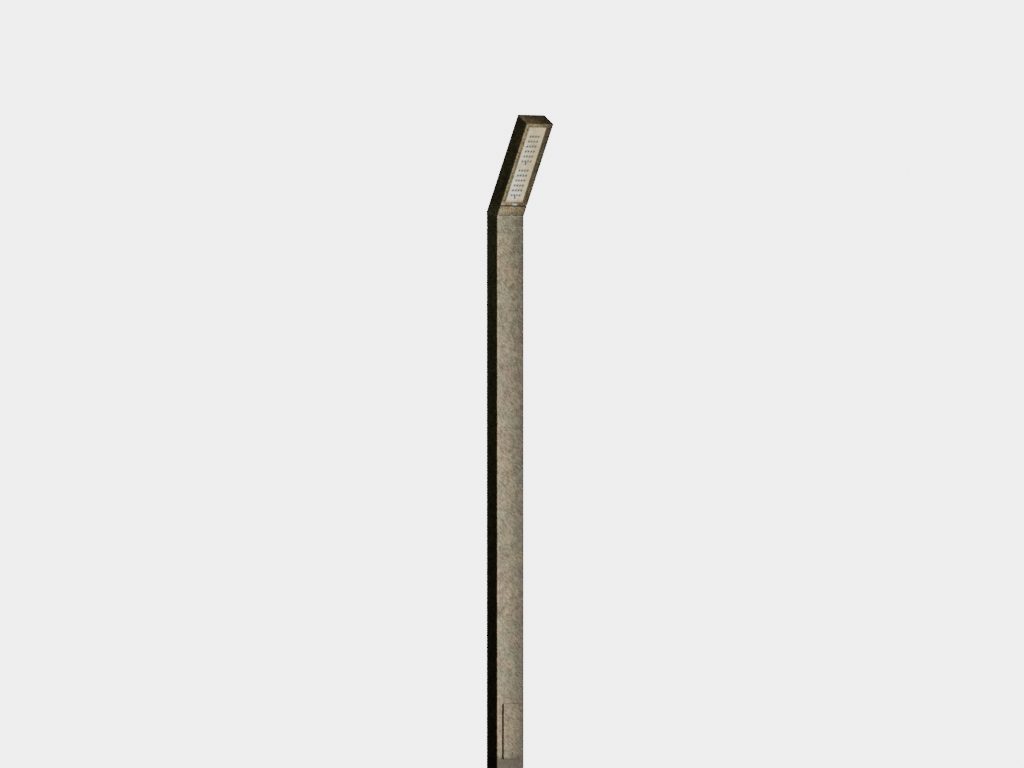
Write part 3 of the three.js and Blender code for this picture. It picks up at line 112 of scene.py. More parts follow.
class Socket:
    """An output socket that takes part in ordinary arithmetic."""

    def __init__(self, tree: bpy.types.NodeTree, socket: bpy.types.NodeSocket) -> None:
        """Wraps an output socket of a tree."""
        self.tree = tree
        self.socket = socket

    def math(self, operation: str, *terms: Union["Socket", float]) -> "Socket":
        """Runs a Math node.

        Args:
            operation: the Math node's operation.
            terms: its inputs in order.

        Returns:
            The node's result.
        """
        made = self.tree.nodes.new("ShaderNodeMath")
        made.operation = operation
        for place, term in enumerate(terms):
            if isinstance(term, Socket):
                self.tree.links.new(term.socket, made.inputs[place])
            else:
                made.inputs[place].default_value = term
        return Socket(self.tree, made.outputs[0])

    def __add__(self, other: Union["Socket", float]) -> "Socket":
        """self + other"""
        return self.math("ADD", self, other)

    def __radd__(self, other: float) -> "Socket":
        """other + self"""
        return self.math("ADD", other, self)

    def __sub__(self, other: Union["Socket", float]) -> "Socket":
        """self - other"""
        return self.math("SUBTRACT", self, other)

    def __rsub__(self, other: float) -> "Socket":
        """other - self"""
        return self.math("SUBTRACT", other, self)

    def __mul__(self, other: Union["Socket", float]) -> "Socket":
        """self * other"""
        return self.math("MULTIPLY", self, other)

    def __rmul__(self, other: float) -> "Socket":
        """other * self"""
        return self.math("MULTIPLY", other, self)

    def __truediv__(self, other: Union["Socket", float]) -> "Socket":
        """self / other"""
        return self.math("DIVIDE", self, other)

    def wave(self) -> "Socket":
        """The sine of the value."""
        return self.math("SINE", self)

    def size(self) -> "Socket":
        """The value without its sign."""
        return self.math("ABSOLUTE", self)

    def rise(self, low: float, high: float) -> "Socket":
        """A smooth step from 0 at low to 1 at high.

        Args:
            low: where the step starts.
            high: where it is complete; below low for a step down.

        Returns:
            The step, held between 0 and 1.
        """
        made = self.tree.nodes.new("ShaderNodeMapRange")
        made.interpolation_type = "SMOOTHSTEP"
        flip = high < low
        self.tree.links.new(self.socket, made.inputs[0])
        values = (high, low, 1.0, 0.0) if flip else (low, high, 0.0, 1.0)
        for place, value in enumerate(values, start=1):
            made.inputs[place].default_value = value
        return Socket(self.tree, made.outputs[0])


Input = Union[Socket, Sequence[Socket], float, int, bool, str, tuple, Vector, object]


class Tree:
    """A node tree that is being written."""

    def __init__(self, tree: bpy.types.NodeTree) -> None:
        """Starts on an empty tree."""
        self.tree = tree

    def put(
        self,
        kind: str,
        settings: Optional[dict[str, object]] = None,
        sockets: Optional[dict[Union[str, int], Input]] = None,
        output: Union[str, int] = 0,
    ) -> Socket:
        """Adds a node.

        Args:
            kind: the node's type.
            settings: its properties, set before anything is linked.
            sockets: values, links or lists of links for its inputs, by name or place.
            output: which output is wanted.

        Returns:
            That output.
        """
        made = self.tree.nodes.new(kind)
        for name, value in (settings or {}).items():
            setattr(made, name, value)
        for key, value in (sockets or {}).items():
            if isinstance(value, Socket):
                self.tree.links.new(value.socket, made.inputs[key])
            elif isinstance(value, list):
                for one in value:
                    self.tree.links.new(one.socket, made.inputs[key])
            else:
                made.inputs[key].default_value = value
        outputs = made.outputs
        return Socket(self.tree, outputs[output]) if len(outputs) else None

    def vector(self, x: Input, y: Input, z: Input) -> Socket:
        """Three numbers as one vector."""
        return self.put("ShaderNodeCombineXYZ", None, {0: x, 1: y, 2: z})


class Surface(Tree):
    """A material's shader tree on the piece's own object coordinates."""

    def __init__(self, name: str) -> None:
        """Starts an empty material of that name."""
        self.material = bpy.data.materials.new(name)
        self.material.use_nodes = True
        super().__init__(self.material.node_tree)
        self.tree.nodes.clear()
        self.place = self.put("ShaderNodeTexCoord", None, None, "Object")

    def axis(self, letter: str) -> Socket:
        """The X, Y or Z of the point being shaded."""
        return self.put("ShaderNodeSeparateXYZ", None, {0: self.place}, letter)

    def along(self, way: Vector) -> Socket:
        """How far the point being shaded is along a direction."""
        sockets = {0: self.place, 1: tuple(way)}
        return self.put("ShaderNodeVectorMath", {"operation": "DOT_PRODUCT"}, sockets, "Value")

    def scaled(self, size: float, stretch: Colour, shift: float) -> Socket:
        """The place counted in blotches of a size.

        Args:
            size: length of one blotch.
            stretch: how much longer a blotch is along X, Y and Z.
            shift: offset that sets one pattern apart from another.

        Returns:
            The scaled place.
        """
        factor = tuple(1.0 / (size * one) for one in stretch)
        offset = (shift, shift * 1.7, shift * 0.6)
        sockets = {0: self.place, 1: factor, 2: offset}
        return self.put("ShaderNodeVectorMath", {"operation": "MULTIPLY_ADD"}, sockets)

    def noise(
        self,
        size: float,
        stretch: Colour = (1.0, 1.0, 1.0),
        detail: float = 2.0,
        shift: float = 0.0,
        warp: float = 0.0,
    ) -> Socket:
        """Soft noise round 0.5.

        Args:
            size: length of one blotch.
            stretch: how much longer a blotch is along X, Y and Z.
            detail: octaves of finer noise.
            shift: offset that sets one pattern apart from another.
            warp: how far the blotches are pulled out of round.

        Returns:
            The noise, between 0 and 1.
        """
        place = self.scaled(size, stretch, shift)
        sockets = {"Vector": place, "Scale": 1.0, "Detail": detail, "Distortion": warp}
        return self.put("ShaderNodeTexNoise", None, sockets)

    def slanted(self, width: float, length: float, detail: float) -> Socket:
        """Noise drawn out into strokes that fall to the right on the front face.

        Args:
            width: width of a stroke.
            length: length of a stroke.
            detail: octaves of finer noise.

        Returns:
            The noise, between 0 and 1.
        """
        falling = (self.axis("X") - self.axis("Z")) * (0.707 / length)
        rising = (self.axis("X") + self.axis("Z")) * (0.707 / width)
        place = self.vector(falling, rising, self.axis("Y") * (1.0 / width))
        sockets = {"Vector": place, "Scale": 1.0, "Detail": detail, "Distortion": 0.3}
        return self.put("ShaderNodeTexNoise", None, sockets)

    def cells(self, size: float, shift: float = 0.0) -> Socket:
        """A flat random value in each crystal of that size."""
        place = self.scaled(size, (1.0, 1.0, 1.0), shift)
        colour = self.put("ShaderNodeTexVoronoi", None, {"Vector": place, "Scale": 1.0}, "Color")
        return self.put("ShaderNodeSeparateXYZ", None, {0: colour}, "X")

    def mix(self, factor: Input, first: Input, second: Input) -> Socket:
        """first at factor 0, second at factor 1."""
        ends = [one if isinstance(one, Socket) else (*one, 1.0) for one in (first, second)]
        sockets = {0: factor, 6: ends[0], 7: ends[1]}
        return self.put("ShaderNodeMix", {"data_type": "RGBA"}, sockets, 2)

    def shade(self, colour: Socket, factor: Socket) -> Socket:
        """A colour made lighter or darker."""
        return self.put(
            "ShaderNodeVectorMath", {"operation": "SCALE"}, {0: colour, "Scale": factor}
        )

    def relief(self, height: Socket, distance: float) -> Socket:
        """The normal over a bumpy height.

        Args:
            height: the bumps, 0 to 1.
            distance: how tall a bump of 1 is.

        Returns:
            The bumped normal.
        """
        return self.put("ShaderNodeBump", None, {"Height": height, "Distance": distance})

    def close(self, sockets: dict[Union[str, int], Input]) -> bpy.types.Material:
        """Ends the tree in a Principled shader.

        Args:
            sockets: the shader's inputs.

        Returns:
            The finished material.
        """
        shader = self.put("ShaderNodeBsdfPrincipled", None, sockets)
        self.put("ShaderNodeOutputMaterial", None, {"Surface": shader})
        return self.material


# ---------------------------------------------------------------- finishes


@dataclass(frozen=True)
class Finish:
    """A surface: its colours, its sheen and how it has aged."""

    slot: Slot
    colours: tuple[Colour, Colour, Colour]
    patch: float
    roughness: float
    metallic: float = 0.0
    pattern: Pattern = Pattern.PATCHES
    grain: float = 0.0008
    bump: float = 0.00004
    dust: Colour = (0.30, 0.27, 0.22)
    dustiness: float = 0.35

    def colour(self, tree: Surface) -> Socket:
        """The base colour, laid in the finish's pattern.

        Args:
            tree: the material's tree.

        Returns:
            The colour before dust.
        """
        if self.pattern is Pattern.SPANGLE:
            first = tree.cells(self.patch)
            second = tree.cells(self.patch * 0.45, 3.0)
        elif self.pattern is Pattern.BRUSHED:
            first = tree.noise(self.patch, (1.0, 1.0, 30.0), 3.0)
            second = tree.noise(self.patch * 8.0, (1.0, 1.0, 3.0), 2.0, 4.0)
        else:
            first = tree.noise(self.patch, detail=3.0).rise(0.38, 0.62)
            second = tree.noise(self.patch * 0.35, detail=2.0, shift=5.0).rise(0.45, 0.7)
        base = tree.mix(first, self.colours[0], self.colours[1])
        return tree.mix(second * 0.6, base, self.colours[2])

    def make(self) -> bpy.types.Material:
        """The finish as a material."""
        tree = Surface(self.slot.value)
        dirt = tree.noise(0.05, detail=4.0, shift=9.0, warp=0.4).rise(0.52, 0.78)
        speck = tree.noise(0.004, detail=2.0, shift=2.0).rise(0.62, 0.75)
        cover = dirt * self.dustiness + speck * (self.dustiness * 0.5)
        grain = tree.noise(self.grain, detail=2.0, shift=1.0)
        roughness = self.roughness + (grain - 0.5) * 0.16 + cover * 0.25
        return tree.close(
            {
                "Base Color": tree.mix(cover, self.colour(tree), self.dust),
                "Roughness": roughness,
                "Metallic": self.metallic * (1.0 - cover),
                "Normal": tree.relief(grain, self.bump),
            }
        )


@dataclass(frozen=True)
class WeatheredCoat(Finish):
    """A stone-effect powder coat that has stood outdoors."""

    # painted shade: how much darker the front is painted towards its right side
    across_shade: float = 0.68
    # the dark and the paler brown that the coat is darkened to towards the bottom
    bottom_tone: Colour = (0.052, 0.041, 0.026)
    bottom_tone_pale: Colour = (0.105, 0.086, 0.057)
    primer: Colour = (0.36, 0.32, 0.24)

    def colour(self, tree: Surface) -> Socket:
        """Large soft patches of three colours, blotched and streaked, with painted shade and light:
        darker towards the front's right side, a painted shade strip along the right edge, a
        painted highlight along the left edge, painted shade along the head's back edge and a
        painted light band at the collar.

        Args:
            tree: the material's tree.

        Returns:
            The colour before dust.
        """
        tan, green, mauve = self.colours
        wide = tree.noise(self.patch, detail=3.0, shift=2.4, warp=0.8).rise(0.40, 0.58)
        second = tree.noise(self.patch * 0.7, detail=3.0, shift=6.0, warp=0.8).rise(0.46, 0.62)
        colour = tree.mix(second * 0.8, tree.mix(wide, tan, green), mauve)
        blotch = tree.noise(0.034, (1.0, 1.0, 1.3), 3.0, 3.0)
        fleck = tree.slanted(0.0095, 0.026, 2.0)
        speck = tree.noise(0.008, detail=2.0, shift=8.0)
        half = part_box("post_tube")[1].x
        across = tree.axis("X")
        broad = 1.0 - across.size().rise(half - 0.0014, half - 0.0004)
        # painted shade across the front, darker towards the right side
        side = (across + (tree.noise(0.09, shift=4.0) - 0.5) * 0.06).rise(-0.8 * half, 1.1 * half)
        # painted shade: a darker strip along the right rounded edge
        right_edge_shade = across.rise(half - 0.014, half - 0.007) * 0.60
        # painted highlight: a lighter strip along the left rounded edge
        left_edge_highlight = across.rise(0.014 - half, 0.006 - half) * 0.16
        # painted light: a band round the lid's hinge at the collar is painted lighter
        hinge = joint("lid_hinge")["pos_m"][2]
        level = tree.axis("Z")
        collar_light_band = level.rise(hinge - 0.0741, hinge - 0.0681) * level.rise(hinge + 0.0249, hinge - 0.0201)
        inward = tree.along(HeadFrame().inward)
        edge = self.back_edge()
        # painted shade: a dark strip along the head's back edge
        back = inward.rise(edge - 0.012, edge - 0.007) * (1.0 - inward.rise(edge - 0.0014, edge))
        light = 1.0 + (blotch - 0.5) * 1.3 + (fleck - 0.5) * 2.5 + (speck - 0.5) * 2.4
        light = light.math("MAXIMUM", light, 0.5)
        # painted shade across the front and painted shade and highlight on the long edges, laid over
        # the mottling
        light = light * (1.0 - side * broad * self.across_shade) * (1.0 + (left_edge_highlight - right_edge_shade) * broad)
        # painted shade along the head's back edge and painted light on the collar band
        return tree.shade(colour, light * (1.0 - back * 0.85) * (1.0 + collar_light_band * 0.38))

    def back_edge(self) -> float:
        """How far inward the head's back face is."""
        return HeadFrame().extent("head_shell")[1].y

    def make(self) -> bpy.types.Material:
        """The coat as a material."""
        tree = Surface(self.slot.value)
        height = tree.axis("Z") + (tree.noise(0.06, detail=4.0) - 0.5) * 0.08
        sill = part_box("door_cover")[0].z
        # darker towards the bottom: from just below the door's sill and, more faintly, near the ground
        bottom_tone = height.rise(sill + 0.053, sill - 0.007) * 0.86 + height.rise(0.35, 0.05) * 0.25
        chips = tree.noise(0.005, detail=4.0, shift=15.0).rise(0.66, 0.72) * 0.5
        base = tree.mix(chips, self.colour(tree), self.primer)
        peel = tree.noise(self.grain, detail=2.0)
        wear = tree.noise(0.05, detail=3.0, shift=19.0)
        bottom_speckle = tree.noise(0.011, detail=3.0, shift=21.0, warp=0.3).rise(0.36, 0.64)
        bottom_colour = tree.mix(bottom_speckle * 0.7 + wear * 0.3, self.bottom_tone, self.bottom_tone_pale)
        return tree.close(
            {
                "Base Color": tree.mix(bottom_tone, base, bottom_colour),
                "Roughness": self.roughness + (wear - 0.5) * 0.35 + bottom_tone * 0.3,
                "Metallic": self.metallic * (1.0 - bottom_tone),
                "Normal": tree.relief(peel, self.bump),
            }
        )


@dataclass(frozen=True)
class StainedPanel(Finish):
    """Cream sheet that has yellowed and spotted behind its glass."""

    paler_cream: Colour = (0.97, 0.91, 0.66)

    def colour(self, tree: Surface) -> Socket:
        """Cream, paler towards the foot's left, with faint brown and pink stains.

        Args:
            tree: the material's tree.

        Returns:
            The colour before dust.
        """
        cream, brown, pink = self.colours
        # paler towards the lower left
        low_left = tree.axis("X") * 4.0 + tree.axis("Z") + (tree.noise(0.08) - 0.5) * 0.35
        pale = low_left.rise(4.36, 3.92)
        colour = tree.mix(pale, cream, self.paler_cream)
        spots = tree.noise(self.patch, detail=4.0, shift=6.0, warp=0.5)
        colour = tree.mix(spots.rise(0.50, 0.72) * 0.7, colour, brown)
        wash = tree.noise(self.patch * 2.2, detail=2.0, shift=11.0)
        return tree.mix(wash.rise(0.48, 0.66) * 0.3, colour, pink)


@dataclass(frozen=True)
class ClearFinish(Finish):
    """A see-through surface with a film of dust on it."""

    clear: float = 0.1
    film: float = 0.08

    def make(self) -> bpy.types.Material:
        """The clear surface as a material."""
        tree = Surface(self.slot.value)
        dirt = tree.noise(0.05, detail=4.0, shift=9.0, warp=0.4).rise(0.45, 0.8)
        speck = tree.noise(0.003, detail=2.0, shift=2.0).rise(0.60, 0.75)
        grain = tree.noise(self.grain, detail=2.0)
        return tree.close(
            {
                "Base Color": tree.mix(dirt, self.colour(tree), self.dust),
                "Roughness": self.roughness + dirt * 0.3,
                "Alpha": self.clear + (dirt + speck) * self.film,
                "Normal": tree.relief(grain, self.bump),
            }
        )


FINISHES: tuple[Finish, ...] = (
    WeatheredCoat(
        Slot.COAT,
        ((0.262, 0.203, 0.106), (0.205, 0.184, 0.103), (0.228, 0.165, 0.098)),
        patch=0.17,
        roughness=0.46,
        metallic=0.14,
        grain=0.0016,
        bump=0.00008,
    ),
    Finish(
        Slot.GALVANISED,
        ((0.36, 0.37, 0.37), (0.48, 0.49, 0.48), (0.30, 0.31, 0.32)),
        patch=0.012,
        roughness=0.5,
        metallic=0.75,
        pattern=Pattern.SPANGLE,
        dustiness=0.4,
    ),
    Finish(
        Slot.STAINLESS,
        ((0.30, 0.29, 0.27), (0.40, 0.39, 0.37), (0.22, 0.20, 0.17)),
        patch=0.0006,
        roughness=0.36,
        metallic=0.9,
        pattern=Pattern.BRUSHED,
        grain=0.0003,
        bump=0.00001,
    ),
    Finish(
        Slot.RUBBER,
        ((0.026, 0.026, 0.026), (0.040, 0.039, 0.036), (0.018, 0.018, 0.018)),
        patch=0.02,
        roughness=0.8,
        dustiness=0.25,
    ),
    Finish(
        Slot.DARK_PLASTIC,
        ((0.055, 0.062, 0.075), (0.070, 0.078, 0.092), (0.045, 0.048, 0.055)),
        patch=0.02,
        roughness=0.5,
        grain=0.0005,
    ),
    Finish(
        Slot.PALE_PLASTIC,
        ((0.56, 0.58, 0.60), (0.48, 0.50, 0.52), (0.62, 0.62, 0.60)),
        patch=0.03,
        roughness=0.45,
        grain=0.0005,
    ),
    StainedPanel(
        Slot.CREAM,
        ((0.70, 0.56, 0.26), (0.48, 0.34, 0.14), (0.68, 0.48, 0.27)),
        patch=0.045,
        roughness=0.42,
        dustiness=0.15,
    ),
    Finish(
        Slot.BOARD,
        ((0.60, 0.63, 0.62), (0.52, 0.55, 0.55), (0.66, 0.67, 0.64)),
        patch=0.02,
        roughness=0.4,
        dustiness=0.15,
    ),
    ClearFinish(
        Slot.LENS,
        ((0.15, 0.20, 0.29), (0.10, 0.14, 0.21), (0.24, 0.29, 0.36)),
        patch=0.01,
        roughness=0.16,
        clear=0.86,
        film=0.1,
        bump=0.00001,
    ),
    ClearFinish(
        Slot.GLASS,
        ((0.80, 0.86, 0.86), (0.74, 0.80, 0.80), (0.84, 0.88, 0.88)),
        patch=0.2,
        roughness=0.12,
        clear=0.04,
        film=0.06,
        grain=0.05,
        bump=0.00002,
    ),
    Finish(
        Slot.CABLE,
        ((0.022, 0.022, 0.024), (0.034, 0.034, 0.034), (0.016, 0.016, 0.018)),
        patch=0.02,
        roughness=0.55,
    ),
    Finish(
        Slot.EARTH,
        ((0.13, 0.27, 0.045), (0.17, 0.32, 0.06), (0.34, 0.36, 0.05)),
        patch=0.015,
        roughness=0.5,
    ),
)


# ---------------------------------------------------------------- places


@dataclass(frozen=True)
class Spot:
    """Where one repeated thing sits and which way it faces."""

    place: Vector
    facing: Vector


def joint(name: str) -> dict[str, object]:
    """The frame's joint of that name."""
    return next(one for one in frame["joints"] if one["name"] == name)


class HeadFrame:
    """The leaning head's own directions: across, inward from its front face, and along it."""

    def __init__(self) -> None:
        """Reads the lean from the lid screws' axis."""
        turn = joint("lid_screw_left_turn")
        self.across = Vector((1.0, 0.0, 0.0))
        self.inward = Vector(turn["axis"]).normalized()
        self.along = self.across.cross(self.inward).normalized()

    def extent(self, node: str) -> tuple[Vector, Vector]:
        """A node's box in these directions.

        Args:
            node: the CAD node.

        Returns:
            Its lowest and highest across, inward and along.
        """
        corners = frame["nodes"][node].data.vertices
        rows = [
            Vector((v.co.dot(self.across), v.co.dot(self.inward), v.co.dot(self.along)))
            for v in corners
        ]
        low = Vector(min(row[i] for row in rows) for i in range(3))
        high = Vector(max(row[i] for row in rows) for i in range(3))
        return low, high

    def point(self, across: float, inward: float, along: float) -> Vector:
        """The place in the row frame of a point given in these directions."""
        return self.across * across + self.inward * inward + self.along * along

    def stand(self, mesh: bpy.types.Mesh, inward: float) -> None:
        """Turns a mesh that was grown upwards so that it stands out from the head.

        Args:
            mesh: grown with X across, Y along and Z outward.
            inward: how deep in the head its foot is.
        """
        turn = Matrix((self.across, self.along, -self.inward)).transposed().to_4x4()
        mesh.transform(Matrix.Translation(self.inward * inward) @ turn)
        if turn.determinant() < 0:
            mesh.flip_normals()


def spread(low: float, high: float, count: int) -> list[float]:
    """Evenly spaced values from low to high, both included."""
    return [low + (high - low) * i / (count - 1) for i in range(count)]


def body_of(node: str) -> str:
    """The body a CAD node belongs to."""
    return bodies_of(frame["nodes"][node])[0]


# ---------------------------------------------------------------- growth


class Growth(Tree):
    """A Geometry Nodes tree that is run once into a plain mesh."""

    def __init__(self, name: str, sizes: dict[str, float]) -> None:
        """Starts a tree with a geometry input and named sizes.

        Args:
            name: what the tree makes.
            sizes: its named inputs and their values.
        """
        group = bpy.data.node_groups.new(name, "GeometryNodeTree")
        super().__init__(group)
        sockets = group.interface
        sockets.new_socket("Geometry", in_out="INPUT", socket_type="NodeSocketGeometry")
        sockets.new_socket("Geometry", in_out="OUTPUT", socket_type="NodeSocketGeometry")
        self.values: dict[str, float] = {}
        for label, value in sizes.items():
            made = sockets.new_socket(label, in_out="INPUT", socket_type="NodeSocketFloat")
            self.values[made.identifier] = value
        self.entry = group.nodes.new("NodeGroupInput")
        self.source = Socket(group, self.entry.outputs["Geometry"])

    def size(self, label: str) -> Socket:
        """One of the named sizes."""
        return Socket(self.tree, self.entry.outputs[label])

    def cone(self, foot: Input, top: Input, depth: Input, sides: int, lift: Input) -> Socket:
        """A closed cone, or a cylinder where both radii are the same, standing on lift."""
        sizes = {"Vertices": sides, "Radius Top": top, "Radius Bottom": foot, "Depth": depth}
        shape = self.put("GeometryNodeMeshCone", None, sizes)
        return self.moved(shape, self.vector(0.0, 0.0, lift))

    def cube(self, x: Input, y: Input, z: Input, lift: Input) -> Socket:
        """A box centred on the axis with its foot at lift."""
        box = self.put("GeometryNodeMeshCube", None, {"Size": self.vector(x, y, z)})
        return self.moved(box, self.vector(0.0, 0.0, lift + z * 0.5))

    def moved(self, shape: Socket, offset: Input) -> Socket:
        """A shape moved by an offset."""
        sockets = {"Geometry": shape, "Translation": offset}
        return self.put("GeometryNodeTransform", None, sockets)

    def ball(self, radius: Input, height: Input, segments: int) -> Socket:
        """An ellipsoid of a radius and a height, centred on the origin."""
        sizes = {"Segments": segments, "Rings": segments // 2, "Radius": 1.0}
        shape = self.put("GeometryNodeMeshUVSphere", None, sizes)
        sockets = {"Geometry": shape, "Scale": self.vector(radius, radius, height)}
        return self.put("GeometryNodeTransform", None, sockets)

    def cut(self, shape: Socket, tool: Socket) -> Socket:
        """A shape less a tool."""
        sockets = {"Mesh 1": shape, "Mesh 2": tool}
        return self.put("GeometryNodeMeshBoolean", {"operation": "DIFFERENCE"}, sockets)

    def joined(self, *shapes: Socket) -> Socket:
        """Shapes made into one closed body."""
        sockets = {"Mesh 2": list(shapes)}
        return self.put("GeometryNodeMeshBoolean", {"operation": "UNION"}, sockets)

    def at_spots(self, shape: Socket, spin: float, seed: int) -> Socket:
        """A copy of a shape on every input point, its Z along the point's facing.

        Args:
            shape: what is repeated.
            spin: how far each copy may be turned on its own axis, in radians.
            seed: fixes the turns.

        Returns:
            The instances.
        """
        name = {"Name": "facing"}
        facing = self.put("GeometryNodeInputNamedAttribute", {"data_type": "FLOAT_VECTOR"}, name)
        turn = self.put("FunctionNodeAlignRotationToVector", {"axis": "Z"}, {"Vector": facing})
        sockets = {"Points": self.source, "Instance": shape, "Rotation": turn}
        placed = self.put("GeometryNodeInstanceOnPoints", None, sockets)
        limits = {2: -spin, 3: spin, "Seed": seed}
        angle = self.put("FunctionNodeRandomValue", {"data_type": "FLOAT"}, limits, 1)
        sockets = {"Instances": placed, "Rotation": self.vector(0.0, 0.0, angle)}
        return self.put("GeometryNodeRotateInstances", None, sockets)

    def grow(
        self, source: bpy.types.Mesh, geometry: Socket, material: bpy.types.Material
    ) -> bpy.types.Mesh:
        """Ends the tree, runs it on a mesh and keeps the plain result.

        Args:
            source: the points or edges that the tree works on.
            geometry: the tree's result.
            material: what it is made of.

        Returns:
            The result as a plain mesh.
        """
        real = self.put("GeometryNodeRealizeInstances", None, {0: geometry})
        ends = {"Geometry": real, "Material": material}
        done = self.put("GeometryNodeSetMaterial", None, ends)
        self.put("NodeGroupOutput", None, {0: done})
        holder = bpy.data.objects.new(self.tree.name, source)
        bpy.context.scene.collection.objects.link(holder)
        modifier = holder.modifiers.new(self.tree.name, "NODES")
        modifier.node_group = self.tree
        for identifier, value in self.values.items():
            modifier[identifier] = value
        depsgraph = bpy.context.evaluated_depsgraph_get()
        mesh = bpy.data.meshes.new_from_object(holder.evaluated_get(depsgraph))
        holder.modifiers.remove(modifier)
        bpy.data.objects.remove(holder)
        return mesh


def spots_mesh(spots: Sequence[Spot]) -> bpy.types.Mesh:
    """Points with a facing each, for a growth to work on.

    Args:
        spots: where the points are.

    Returns:
        A mesh of loose points.
    """
    mesh = bpy.data.meshes.new("spots")
    mesh.from_pydata([spot.place for spot in spots], [], [])
    facing = mesh.attributes.new("facing", "FLOAT_VECTOR", "POINT")
    for item, spot in zip(facing.data, spots):
        item.vector = spot.facing
    return mesh


def path_mesh(runs: Iterable[Sequence[Vector]], closed: bool) -> bpy.types.Mesh:
    """Paths as loose edges, for a bead to follow.

    Args:
        runs: the points of each path in order.
        closed: whether each path comes back to its start.

    Returns:
        A mesh of edges.
    """
    points: list[Vector] = []
    edges: list[tuple[int, int]] = []
    for run in runs:
        start = len(points)
        points.extend(run)
        edges.extend((start + i, start + i + 1) for i in range(len(run) - 1))
        if closed:
            edges.append((len(points) - 1, start))
    mesh = bpy.data.meshes.new("paths")
    mesh.from_pydata(points, edges, [])
    return mesh


def lead_normals(mesh: bpy.types.Mesh, limit: float) -> None:
    """Lets the largest faces lead the shading, so flat faces stay flat up to rounded edges.

    Args:
        mesh: the mesh to shade.
        limit: faces that turn from each other by more than this don't blend, in radians.
    """
    mesh.shade_smooth()
    around: list[list[bpy.types.MeshPolygon]] = [[] for _ in mesh.vertices]
    for polygon in mesh.polygons:
        for corner in polygon.vertices:
            around[corner].append(polygon)
    least = math.cos(limit)
    normals = []
    for polygon in mesh.polygons:
        own = polygon.normal.copy()
        for corner in polygon.vertices:
            total = own * 1e-9
            for other in around[corner]:
                if other.normal.dot(own) > least:
                    total += other.normal * other.area
            normals.append(total.normalized())
    mesh.normals_split_custom_set(normals)


# ---------------------------------------------------------------- the bench


Places = Union[Sequence[Spot], bpy.types.Mesh]


class Maker(Protocol):
    """Makes one mesh of a small part, from spots or from a mesh of paths."""

    def mesh(self, places: Any, material: bpy.types.Material, /) -> bpy.types.Mesh:
        """The part on every spot or along every path."""


